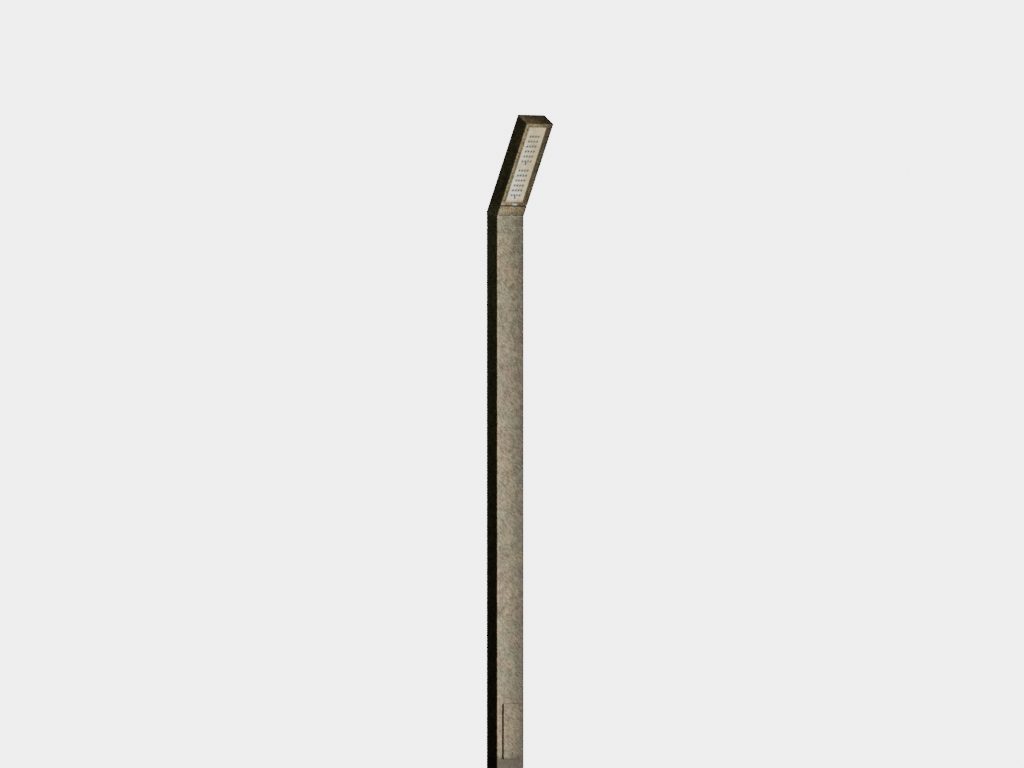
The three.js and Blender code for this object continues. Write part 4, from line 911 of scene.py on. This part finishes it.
class Bench:
    """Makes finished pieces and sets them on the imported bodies."""

    sharp_angle: float = math.radians(28.0)
    blend_angle: float = math.radians(42.0)
    flat_angle: float = math.radians(0.6)
    same_place: float = 2e-5
    long_edge: float = 0.05

    def __init__(self, finishes: Sequence[Finish]) -> None:
        """Mixes every finish once."""
        self.materials = {finish.slot: finish.make() for finish in finishes}
        self.made = 0

    def hang(
        self, mesh: bpy.types.Mesh, name: str, body: str, slot: Slot, nodes: Sequence[str]
    ) -> bpy.types.Object:
        """Sets a mesh on a body as a finished piece.

        Args:
            mesh: the piece in the row frame.
            name: the piece's name.
            body: the CAD body that it moves with.
            slot: its material slot.
            nodes: the CAD nodes that it stands for, if any.

        Returns:
            The piece.
        """
        piece = bpy.data.objects.new(name, mesh)
        bpy.context.scene.collection.objects.link(piece)
        mesh.materials.clear()
        mesh.materials.append(self.materials[slot])
        for polygon in mesh.polygons:
            polygon.material_index = 0
        if nodes:
            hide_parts(*nodes)
        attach(piece, body)
        self.made += 1
        LOG.info("%s: %d faces on %s", name, len(mesh.polygons), body)
        return piece

    def refine(
        self, node: str, slot: Slot, edge: float, wide: float = 0.0
    ) -> bpy.types.Object:
        """A CAD node with its faces joined up and its edges rounded.

        Args:
            node: the CAD node that the piece stands for.
            slot: its material slot.
            edge: the radius of its edges.
            wide: a larger radius for its long edges, where they have one.

        Returns:
            The piece.
        """
        mesh = frame["nodes"][node].data.copy()
        work = bmesh.new()
        work.from_mesh(mesh)
        bmesh.ops.remove_doubles(work, verts=work.verts, dist=self.same_place)
        bmesh.ops.dissolve_limit(
            work, angle_limit=self.flat_angle, verts=work.verts, edges=work.edges
        )
        bmesh.ops.recalc_face_normals(work, faces=work.faces)
        if wide:
            self.round_edges(work, wide, 3, self.long_edge)
        self.round_edges(work, edge, 2, 0.0)
        broad = [face for face in work.faces if len(face.verts) > 4]
        bmesh.ops.triangulate(work, faces=broad)
        work.to_mesh(mesh)
        work.free()
        lead_normals(mesh, self.blend_angle)
        return self.hang(mesh, f"{node}_piece", body_of(node), slot, [node])

    def refine_all(self, parts: Iterable[tuple[str, Slot, float]]) -> None:
        """Refines several CAD nodes.

        Args:
            parts: each node with its material slot and the radius of its edges.
        """
        for node, slot, edge in parts:
            self.refine(node, slot, edge)

    def round_edges(
        self, work: bmesh.types.BMesh, radius: float, segments: int, longer_than: float
    ) -> None:
        """Rounds a mesh's sharp edges.

        Args:
            work: the mesh being worked on.
            radius: how far in from the edge the rounding starts.
            segments: how finely it is rounded.
            longer_than: edges shorter than this are left.
        """
        sharp = [
            edge
            for edge in work.edges
            if len(edge.link_faces) == 2
            and edge.calc_face_angle(0.0) > self.sharp_angle
            and edge.calc_length() > longer_than
        ]
        bmesh.ops.bevel(
            work,
            geom=sharp,
            offset=radius,
            offset_type="OFFSET",
            segments=segments,
            profile=0.5,
            affect="EDGES",
            clamp_overlap=True,
        )

    def grown(
        self,
        mesh: bpy.types.Mesh,
        name: str,
        body: str,
        slot: Slot,
        nodes: Sequence[str] = (),
        crease: float = 35.0,
    ) -> bpy.types.Object:
        """Sets a grown mesh on a body, smooth but for its creases.

        Args:
            mesh: the grown mesh in the row frame.
            name: the piece's name.
            body: the CAD body that it moves with.
            slot: its material slot.
            nodes: the CAD nodes that it stands for.
            crease: the angle from which an edge is sharp, in degrees.

        Returns:
            The piece.
        """
        mesh.shade_smooth()
        mesh.set_sharp_from_angle(angle=math.radians(crease))
        return self.hang(mesh, name, body, slot, nodes)

    def repeat(
        self,
        maker: Maker,
        places: Places,
        name: str,
        body: str,
        slot: Slot,
        nodes: Sequence[str] = (),
    ) -> bpy.types.Object:
        """Sets a small part on a body, on every spot or along every path.

        Args:
            maker: what is repeated.
            places: where it goes.
            name: the piece's name.
            body: the CAD body that it moves with.
            slot: its material slot.
            nodes: the CAD nodes that it stands for.

        Returns:
            The piece.
        """
        return self.grown(maker.mesh(places, self.materials[slot]), name, body, slot, nodes)


@dataclass(frozen=True)
class ButtonScrew:
    """A round-headed screw with a hexagon socket; over_all() fits its shank to a length."""

    head_radius: float
    head_height: float
    shank_radius: float
    shank_length: float = 0.003
    socket: float = 0.45

    def over_all(self, length: float) -> "ButtonScrew":
        """The same screw at a length measured over head and shank."""
        return replace(self, shank_length=length - self.head_height)

    def mesh(self, spots: Sequence[Spot], material: bpy.types.Material) -> bpy.types.Mesh:
        """One screw on each spot, its head standing out along the spot's facing.

        Args:
            spots: where the underside of each head sits.
            material: what the screws are made of.

        Returns:
            The screws as one mesh.
        """
        sizes = {
            "head radius": self.head_radius,
            "head height": self.head_height,
            "shank radius": self.shank_radius,
            "shank length": self.shank_length,
            "socket radius": self.head_radius * self.socket,
        }
        tree = Growth("button_screw", sizes)
        height = tree.size("head height")
        radius = tree.size("head radius")
        length = tree.size("shank length")
        shank = tree.size("shank radius")
        dome = tree.ball(radius, height, 28)
        below = tree.cube(radius * 3.0, radius * 3.0, height * 2.0, height * -2.0)
        socket = tree.size("socket radius")
        recess = tree.cone(socket, socket, height, 6, height * 0.35)
        head = tree.cut(tree.cut(dome, below), recess)
        thread = tree.cone(shank * 0.8, shank, length + height * 0.2, 20, length * -1.0)
        screw = tree.joined(head, thread)
        return tree.grow(spots_mesh(spots), tree.at_spots(screw, 0.5, 3), material)


@dataclass(frozen=True)
class WeldBead:
    """A rippled bead of weld along a path."""

    radius: float
    step: float
    ripple: float = 0.14

    def mesh(self, paths: bpy.types.Mesh, material: bpy.types.Material) -> bpy.types.Mesh:
        """The bead along a mesh of edges.

        Args:
            paths: the edges.
            material: what the bead is made of.

        Returns:
            The bead as a plain mesh.
        """
        sizes = {"radius": self.radius, "step": self.step, "ripple": self.ripple}
        tree = Growth("weld_bead", sizes)
        curve = tree.put("GeometryNodeMeshToCurve", None, {0: tree.source})
        even = tree.put(
            "GeometryNodeResampleCurve",
            {"mode": "LENGTH"},
            {"Curve": curve, "Length": tree.size("step")},
        )
        index = tree.put("GeometryNodeInputIndex")
        limits = {2: -0.5, 3: 0.5, "Seed": 11}
        uneven = tree.put("FunctionNodeRandomValue", {"data_type": "FLOAT"}, limits, 1)
        size = 1.0 + ((index * 2.1).wave() + uneven) * tree.size("ripple")
        thick = tree.put("GeometryNodeSetCurveRadius", None, {"Curve": even, "Radius": size})
        ring = tree.put(
            "GeometryNodeCurvePrimitiveCircle",
            None,
            {"Resolution": 8, "Radius": tree.size("radius")},
        )
        sockets = {"Curve": thick, "Profile Curve": ring, "Fill Caps": True}
        bead = tree.put("GeometryNodeCurveToMesh", None, sockets)
        return tree.grow(paths, bead, material)


@dataclass(frozen=True)
class Block:
    """A small moulded block with a rounded top, repeated on spots."""

    width: float
    depth: float
    height: float

    def mesh(self, spots: Sequence[Spot], material: bpy.types.Material) -> bpy.types.Mesh:
        """One block standing on each spot.

        Args:
            spots: where the blocks stand.
            material: what they are made of.

        Returns:
            The blocks as one mesh.
        """
        sizes = {"width": self.width, "depth": self.depth, "height": self.height}
        tree = Growth("moulded_block", sizes)
        width, depth, height = (tree.size(label) for label in sizes)
        foot = tree.cube(width, depth, height * 0.8, height * -0.1)
        cap = tree.cube(width * 0.86, depth * 0.86, height, 0.0)
        block = tree.joined(foot, cap)
        return tree.grow(spots_mesh(spots), tree.at_spots(block, 0.0, 1), material)


# ---------------------------------------------------------------- sub-assemblies


def outline(half_x: float, half_y: float, radius: float, steps: int = 4) -> list[Vector]:
    """A rounded rectangle round the origin, level, anticlockwise.

    Args:
        half_x: half its width.
        half_y: half its depth.
        radius: its corners' radius.
        steps: points in each corner.

    Returns:
        Its points.
    """
    points = []
    for quarter, (sx, sy) in enumerate(((1, 1), (-1, 1), (-1, -1), (1, -1))):
        for i in range(steps + 1):
            angle = math.pi / 2 * (quarter + i / steps)
            x = sx * (half_x - radius) + radius * math.cos(angle)
            y = sy * (half_y - radius) + radius * math.sin(angle)
            points.append(Vector((x, y, 0.0)))
    return points


@dataclass
class Foot:
    """The base plate and its four gussets."""

    plate_edge: float = 0.0015
    gusset_edge: float = 0.001
    bead: WeldBead = WeldBead(0.0035, 0.0042)
    corner: float = 0.007

    def build(self, bench: Bench) -> None:
        """The plate and the gussets."""
        bench.refine("base_plate", Slot.COAT, self.plate_edge)
        for side in ("right", "back", "left", "front"):
            bench.refine(f"gusset_{side}", Slot.COAT, self.gusset_edge)

    def dress(self, bench: Bench) -> None:
        """Weld beads round the post's foot and along each gusset."""
        low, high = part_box("post_tube")
        level = low.z
        ring = outline(high.x, high.y, self.corner)
        loop = [point + Vector((0.0, 0.0, level)) for point in ring]
        bench.repeat(self.bead, path_mesh([loop], True), "foot_weld", "post", Slot.COAT)
        runs = path_mesh(self.gusset_runs(level), False)
        bench.repeat(self.bead, runs, "gusset_welds", "post", Slot.COAT)

    def gusset_runs(self, level: float) -> list[list[Vector]]:
        """Where each gusset meets the post and the plate, on both of its faces.

        Args:
            level: the top of the plate.

        Returns:
            One run for each face of each gusset.
        """
        runs = []
        for side, axis in (("right", 0), ("back", 1), ("left", 0), ("front", 1)):
            low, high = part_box(f"gusset_{side}")
            outer, inner = (low, high) if abs(low[axis]) > abs(high[axis]) else (high, low)
            for flank in (low[1 - axis], high[1 - axis]):
                run = [
                    Vector((inner[axis], flank, high.z - 0.004)),
                    Vector((inner[axis], flank, level)),
                    Vector((outer[axis], flank, level)),
                ]
                runs.append([p if axis == 0 else Vector((p.y, p.x, p.z)) for p in run])
        return runs


@dataclass
class Post:
    """The rectangular tube, the spigot in its top and the screws that hold the two."""

    tube_edge: float = 0.0024
    screw: ButtonScrew = ButtonScrew(0.006, 0.003, 0.004)

    def build(self, bench: Bench) -> None:
        """The tube and the spigot."""
        bench.refine("post_tube", Slot.COAT, 0.0008, self.tube_edge)
        bench.refine("spigot", Slot.GALVANISED, 0.001)

    def dress(self, bench: Bench) -> None:
        """The four set screws, two in each side."""
        ends = [(side, end) for side in ("left", "right") for end in ("front", "back")]
        nodes = [f"set_screw_{side}_{end}" for side, end in ends]
        spots = []
        for node in nodes:
            low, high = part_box(node)
            middle = (low + high) / 2
            way = -1.0 if middle.x < 0 else 1.0
            outer = low.x if way < 0 else high.x
            place = Vector((outer - way * self.screw.head_height, middle.y, middle.z))
            spots.append(Spot(place, Vector((way, 0.0, 0.0))))
        screw = self.screw.over_all(high.x - low.x)
        bench.repeat(screw, spots, "set_screws", "post", Slot.STAINLESS, nodes)


@dataclass
class Elbow:
    """The sleeve over the joint and the weld along the mitre."""

    edge: float = 0.0024
    bead: WeldBead = WeldBead(0.0018, 0.0030)
    corner: float = 0.007

    def build(self, bench: Bench) -> None:
        """The sleeve."""
        bench.refine("elbow_sleeve", Slot.COAT, 0.0006, self.edge)

    def dress(self, bench: Bench) -> None:
        """The weld that closes the mitre between the sleeve and the head."""
        low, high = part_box("elbow_sleeve")
        head = HeadFrame()
        tilt = (head.inward + Vector((0.0, 1.0, 0.0))).normalized()
        slope = tilt.z / tilt.y
        ring = outline(high.x, high.y, self.corner)
        level = high.z - high.y * slope
        loop = [Vector((p.x, p.y, level + p.y * slope)) for p in ring]
        path = path_mesh([loop], True)
        bench.repeat(self.bead, path, "mitre_weld", "post", Slot.GALVANISED)


@dataclass
class Door:
    """The service door with its seal, screws and bridges."""

    edge: float = 0.0012
    screw: ButtonScrew = ButtonScrew(0.0065, 0.003, 0.004)

    def build(self, bench: Bench) -> None:
        """The cover, its seal and the bridges behind the opening."""
        bench.refine("door_cover", Slot.COAT, self.edge)
        bench.refine("door_gasket", Slot.RUBBER, 0.0006)
        for end in ("top", "bottom"):
            bench.refine(f"door_bridge_{end}", Slot.GALVANISED, 0.0005)

    def dress(self, bench: Bench) -> None:
        """The two captive screws, one on each of their bodies."""
        facing = Vector((0.0, -1.0, 0.0))
        for end in ("top", "bottom"):
            node = f"door_screw_{end}"
            low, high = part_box(node)
            middle = (low + high) / 2
            spot = Spot(Vector((middle.x, low.y + self.screw.head_height, middle.z)), facing)
            screw = self.screw.over_all(high.y - low.y)
            bench.repeat(screw, [spot], f"{node}_piece", body_of(node), Slot.COAT, [node])


@dataclass
class Equipment:
    """What is behind the door: board, fuse, terminals, earth and the riser."""

    clamp: ButtonScrew = ButtonScrew(0.0032, 0.0014, 0.0022)
    clamp_inset: float = 0.008
    rib: Block = Block(0.018, 0.0012, 0.0012)
    ribs: int = 5
    rib_reach: float = 0.004
    poles: int = 4

    def build(self, bench: Bench) -> None:
        """Every part, with its edges eased."""
        parts = (
            ("equipment_board", Slot.PALE_PLASTIC, 0.0006),
            ("fuse_box", Slot.DARK_PLASTIC, 0.001),
            ("fuse_carrier", Slot.PALE_PLASTIC, 0.0006),
            ("fuse_link", Slot.STAINLESS, 0.0005),
            ("terminal_block", Slot.PALE_PLASTIC, 0.0005),
            ("earth_stud", Slot.STAINLESS, 0.0004),
            ("earth_nut", Slot.STAINLESS, 0.0004),
            ("earth_lead", Slot.EARTH, 0.0003),
            ("riser_cable", Slot.CABLE, 0.0005),
        )
        bench.refine_all(parts)

    def dress(self, bench: Bench) -> None:
        """Clamp screws in the terminals, ribs on the carrier's grip."""
        facing = Vector((0.0, -1.0, 0.0))
        low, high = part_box("terminal_block")
        inset = (high.x - low.x) / (2 * self.poles)
        spots = [
            Spot(Vector((x, low.y, z)), facing)
            for x in spread(low.x + inset, high.x - inset, self.poles)
            for z in (low.z + self.clamp_inset, high.z - self.clamp_inset)
        ]
        bench.repeat(self.clamp, spots, "terminal_screws", "post", Slot.STAINLESS)
        low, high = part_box("fuse_carrier")
        middle = (low + high) / 2
        spots = [
            Spot(Vector((middle.x, low.y, z)), facing)
            for z in spread(middle.z - self.rib_reach, middle.z + self.rib_reach, self.ribs)
        ]
        body = body_of("fuse_carrier")
        bench.repeat(self.rib, spots, "carrier_ribs", body, Slot.PALE_PLASTIC)


@dataclass
class Head:
    """The back shell of the head and the gear fixed in it."""

    shell_edge: float = 0.0024
    gap_reach: float = 0.009
    fins: int = 9
    fin_width: float = 0.0016
    fin_length: float = 0.19
    fin_height: float = 0.003
    fin_sink: float = 0.0003
    fin_margin: float = 0.006
    poles: int = 4
    clamp: ButtonScrew = ButtonScrew(0.003, 0.0014, 0.002)
    clamp_side: float = 0.008
    clamp_end: float = 0.009

    def build(self, bench: Bench) -> None:
        """Every part, with its edges eased."""
        shell = bench.refine("head_shell", Slot.COAT, 0.0006, self.shell_edge)
        # painted shadow in the gap below the lid
        self.paint_gap_shadow(bench, shell)
        parts = (
            ("bulkhead", Slot.GALVANISED, 0.0005),
            ("cable_gland", Slot.DARK_PLASTIC, 0.0006),
            ("vent_plug", Slot.DARK_PLASTIC, 0.0005),
            ("gear_tray", Slot.GALVANISED, 0.0005),
            ("led_driver", Slot.PALE_PLASTIC, 0.002),
            ("surge_protector", Slot.DARK_PLASTIC, 0.002),
            ("head_terminal_block", Slot.PALE_PLASTIC, 0.001),
            ("isolator_socket", Slot.DARK_PLASTIC, 0.001),
            ("lid_gasket", Slot.RUBBER, 0.0006),
            ("hinge_bracket_left", Slot.GALVANISED, 0.0006),
            ("hinge_bracket_right", Slot.GALVANISED, 0.0006),
        )
        bench.refine_all(parts)

    def paint_gap_shadow(self, bench: Bench, shell: bpy.types.Object) -> None:
        """Paints the collar's end with the black rubber finish where it shows through the gap below the
        lid, as painted shadow in the gap.

        Args:
            bench: holds the materials.
            shell: the head shell's piece.
        """
        head = HeadFrame()
        lid_foot = head.extent("lid_frame")[0].z
        shell.data.materials.append(bench.materials[Slot.RUBBER])
        # painted shadow: the collar's end faces inside the gap take the black finish
        for polygon in shell.data.polygons:
            reach = lid_foot - polygon.center.dot(head.along)
            if 0.0 < reach < self.gap_reach and polygon.normal.dot(head.along) > 0.7:
                polygon.material_index = 1

    def dress(self, bench: Bench) -> None:
        """Cooling fins on the driver and clamp screws in the terminals."""
        head = HeadFrame()
        self.cool(bench, head)
        low, high = head.extent("head_terminal_block")
        spots = [
            Spot(head.point(x, low.y, z), -head.inward)
            for x in spread(low.x + self.clamp_side, high.x - self.clamp_side, self.poles)
            for z in (low.z + self.clamp_end, high.z - self.clamp_end)
        ]
        bench.repeat(self.clamp, spots, "head_terminal_screws", "post", Slot.STAINLESS)

    def cool(self, bench: Bench, head: HeadFrame) -> None:
        """Fins along the driver's face.

        Args:
            bench: makes the piece.
            head: the head's directions.
        """
        low, high = head.extent("led_driver")
        middle = (low.z + high.z) / 2
        sizes = {"width": self.fin_width, "length": self.fin_length, "height": self.fin_height}
        tree = Growth("driver_fins", sizes)
        width, length, height = (tree.size(label) for label in sizes)
        fin = tree.cube(width, length, height, -self.fin_sink)
        spots = [
            Spot(Vector((x, middle, 0.0)), Vector((0.0, 0.0, 1.0)))
            for x in spread(low.x + self.fin_margin, high.x - self.fin_margin, self.fins)
        ]
        placed = tree.at_spots(fin, 0.0, 1)
        mesh = tree.grow(spots_mesh(spots), placed, bench.materials[Slot.PALE_PLASTIC])
        head.stand(mesh, low.y)
        bench.grown(mesh, "driver_fins", "post", Slot.PALE_PLASTIC)


@dataclass
class Lid:
    """The hinged front of the head: frame, glass and the light unit behind it."""

    rows: int = 6
    columns: int = 4
    column_pitch: float = 0.020
    row_margin: float = 0.007
    lens_radius: float = 0.0066
    lens_base: float = 0.0015
    screw: ButtonScrew = ButtonScrew(0.005, 0.0023, 0.003)
    rivet: ButtonScrew = ButtonScrew(0.0016, 0.0008, 0.001, 0.001, 0.25)
    rivet_inset: float = 0.003

    def build(self, bench: Bench) -> None:
        """Every part, with its edges eased."""
        parts = (
            ("lid_frame", Slot.COAT, 0.0008),
            ("glass_bezel", Slot.COAT, 0.0005),
            ("hinge_rod", Slot.STAINLESS, 0.0005),
            ("glass_gasket", Slot.RUBBER, 0.0003),
            ("lid_glass", Slot.GLASS, 0.0006),
            ("led_tray", Slot.CREAM, 0.0005),
            ("reflector_panel", Slot.CREAM, 0.0003),
            ("isolator_plug", Slot.DARK_PLASTIC, 0.0008),
            ("name_plate", Slot.PALE_PLASTIC, 0.0003),
        )
        bench.refine_all(parts)
        for end in ("lower", "upper"):
            bench.refine(f"led_board_{end}", Slot.BOARD, 0.0002)
            bench.refine(f"led_connector_{end}", Slot.DARK_PLASTIC, 0.0005)

    def places(self, head: HeadFrame, end: str) -> list[tuple[float, float]]:
        """The across and along of every light in a module.

        Args:
            head: the head's directions.
            end: which module, lower or upper.

        Returns:
            One pair for each light.
        """
        low, high = head.extent(f"lens_array_{end}")
        reach = self.column_pitch * (self.columns - 1) / 2
        return [
            (x, z)
            for z in spread(low.z + self.row_margin, high.z - self.row_margin, self.rows)
            for x in spread(-reach, reach, self.columns)
        ]

    def lenses(self, bench: Bench, head: HeadFrame, end: str) -> None:
        """A lens plate with a dome over every light.

        Args:
            bench: makes the piece.
            head: the head's directions.
            end: which module, lower or upper.
        """
        low, high = head.extent(f"lens_array_{end}")
        sizes = {
            "plate width": high.x - low.x,
            "plate length": high.z - low.z,
            "plate thickness": self.lens_base,
            "lens radius": self.lens_radius,
            "lens height": (high.y - low.y) - self.lens_base,
            "plate middle": (low.z + high.z) / 2,
        }
        tree = Growth(f"lens_plate_{end}", sizes)
        thick = tree.size("plate thickness")
        plate = tree.cube(tree.size("plate width"), tree.size("plate length"), thick, 0.0)
        plate = tree.moved(plate, tree.vector(0.0, tree.size("plate middle"), 0.0))
        radius = tree.size("lens radius")
        dome = tree.ball(radius, tree.size("lens height"), 20)
        drop = thick * 0.6
        below = tree.cube(radius * 3.0, radius * 3.0, radius * 2.0, radius * -2.0 - drop)
        dome = tree.moved(tree.cut(dome, below), tree.vector(0.0, 0.0, thick))
        spots = [
            Spot(Vector((x, z, 0.0)), Vector((0.0, 0.0, 1.0))) for x, z in self.places(head, end)
        ]
        domes = tree.put("GeometryNodeRealizeInstances", None, {0: tree.at_spots(dome, 0.0, 1)})
        whole = tree.joined(plate, domes)
        mesh = tree.grow(spots_mesh(spots), whole, bench.materials[Slot.LENS])
        head.stand(mesh, high.y)
        node = f"lens_array_{end}"
        bench.grown(mesh, f"{node}_piece", body_of(node), Slot.LENS, [node])

    def dress(self, bench: Bench) -> None:
        """Lens plates, screws and the blank plate's rivets."""
        head = HeadFrame()
        outward = -head.inward
        for end in ("lower", "upper"):
            self.lenses(bench, head, end)
        low, high = head.extent("name_plate")
        spots = [
            Spot(head.point(x, low.y, (low.z + high.z) / 2), outward)
            for x in (low.x + self.rivet_inset, high.x - self.rivet_inset)
        ]
        bench.repeat(self.rivet, spots, "plate_rivets", "lid", Slot.STAINLESS)
        for side in ("left", "right"):
            node = f"lid_screw_{side}"
            low, high = head.extent(node)
            middle = (low + high) / 2
            place = head.point(middle.x, low.y + self.screw.head_height, middle.z)
            screw = self.screw.over_all(high.y - low.y)
            spot = Spot(place, outward)
            bench.repeat(screw, [spot], f"{node}_piece", body_of(node), Slot.COAT, [node])


# ---------------------------------------------------------------- studio


@dataclass(frozen=True)
class SoftLight:
    """A square soft light."""

    name: str
    place: Vector
    aim: Vector
    size: float
    power: float
    colour: Colour = (1.0, 1.0, 1.0)

    def build(self) -> None:
        """Hangs the light."""
        light = bpy.data.lights.new(self.name, "AREA")
        light.energy = self.power
        light.size = self.size
        light.color = self.colour
        holder = bpy.data.objects.new(self.name, light)
        holder.location = self.place
        holder.rotation_euler = (self.aim - self.place).to_track_quat("-Z", "Y").to_euler()
        bpy.context.scene.collection.objects.link(holder)


LIGHTS: tuple[SoftLight, ...] = (
    SoftLight("key", Vector((1.9, -14.0, 1.5)), Vector((0.0, 0.0, 2.6)), 3.0, 2650.0),
    SoftLight(
        "side",
        Vector((-4.5, 1.5, 7.6)),
        Vector((0.0, -0.2, 4.2)),
        1.5,
        46.0,
        (0.86, 1.0, 0.88),
    ),
    SoftLight("back", Vector((7.0, 6.0, 5.0)), Vector((0.0, 0.0, 2.2)), 3.0, 2600.0),
)


@dataclass
class Studio:
    """A pale floor, soft lights and the camera."""

    floor_radius: float = 1.6
    camera_distance: float = 60.0
    camera_aim: Vector = Vector((0.0347, -0.0238, 2.8506))
    camera_back: Vector = Vector((-0.565, -0.825, 0.0))
    lens: float = 343.0
    ambient: float = 0.0018
    ambient_colour: Colour = (0.86, 1.0, 0.80)
    backdrop: float = 5.0

    def build(self) -> None:
        """Everything that isn't part of the lamp post."""
        self.floor()
        self.world()
        for light in LIGHTS:
            light.build()
        self.camera()

    def floor(self) -> None:
        """A round pale floor."""
        mesh = bpy.data.meshes.new("floor")
        work = bmesh.new()
        bmesh.ops.create_circle(work, cap_ends=True, radius=self.floor_radius, segments=96)
        work.to_mesh(mesh)
        work.free()
        tree = Surface("pale_floor")
        grain = tree.noise(0.02, detail=3.0)
        colour = tree.mix(grain, (0.62, 0.61, 0.58), (0.72, 0.71, 0.68))
        mesh.materials.append(tree.close({"Base Color": colour, "Roughness": 0.9}))
        floor = bpy.data.objects.new("floor", mesh)
        bpy.context.scene.collection.objects.link(floor)
        floor.visible_diffuse = False
        floor.visible_glossy = False

    def world(self) -> None:
        """White to the camera, dim to everything else."""
        world = bpy.data.worlds.new("studio")
        world.use_nodes = True
        world.node_tree.nodes.clear()
        tree = Tree(world.node_tree)
        seen = tree.put("ShaderNodeLightPath", None, None, "Is Camera Ray")
        white = tree.put("ShaderNodeBackground", None, {0: (1.0, 1.0, 1.0, 1.0), 1: self.backdrop})
        glow = {0: (*self.ambient_colour, 1.0), 1: self.ambient}
        dim = tree.put("ShaderNodeBackground", None, glow)
        either = tree.put("ShaderNodeMixShader", None, {0: seen, 1: dim, 2: white})
        tree.put("ShaderNodeOutputWorld", None, {"Surface": either})
        bpy.context.scene.world = world

    def camera(self) -> None:
        """A level camera far off, looking at the post's left front."""
        data = bpy.data.cameras.new("camera")
        data.lens = self.lens
        data.clip_end = self.camera_distance * 4
        data.dof.use_dof = False
        camera = bpy.data.objects.new("camera", data)
        back = self.camera_back.normalized()
        camera.location = self.camera_aim + back * self.camera_distance
        camera.rotation_euler = (-back).to_track_quat("-Z", "Y").to_euler()
        bpy.context.scene.collection.objects.link(camera)
        bpy.context.scene.camera = camera


def main() -> None:
    """Builds the lamp post from the ground up, then the studio round it."""
    logging.basicConfig(level=logging.INFO, format="%(name)s: %(message)s")
    bench = Bench(FINISHES)
    for assembly in (Foot(), Post(), Elbow(), Door(), Equipment(), Head(), Lid()):
        before = bench.made
        assembly.build(bench)
        assembly.dress(bench)
        LOG.info("%s: %d pieces", type(assembly).__name__, bench.made - before)
    Studio().build()


if __name__ == "__main__":
    main()
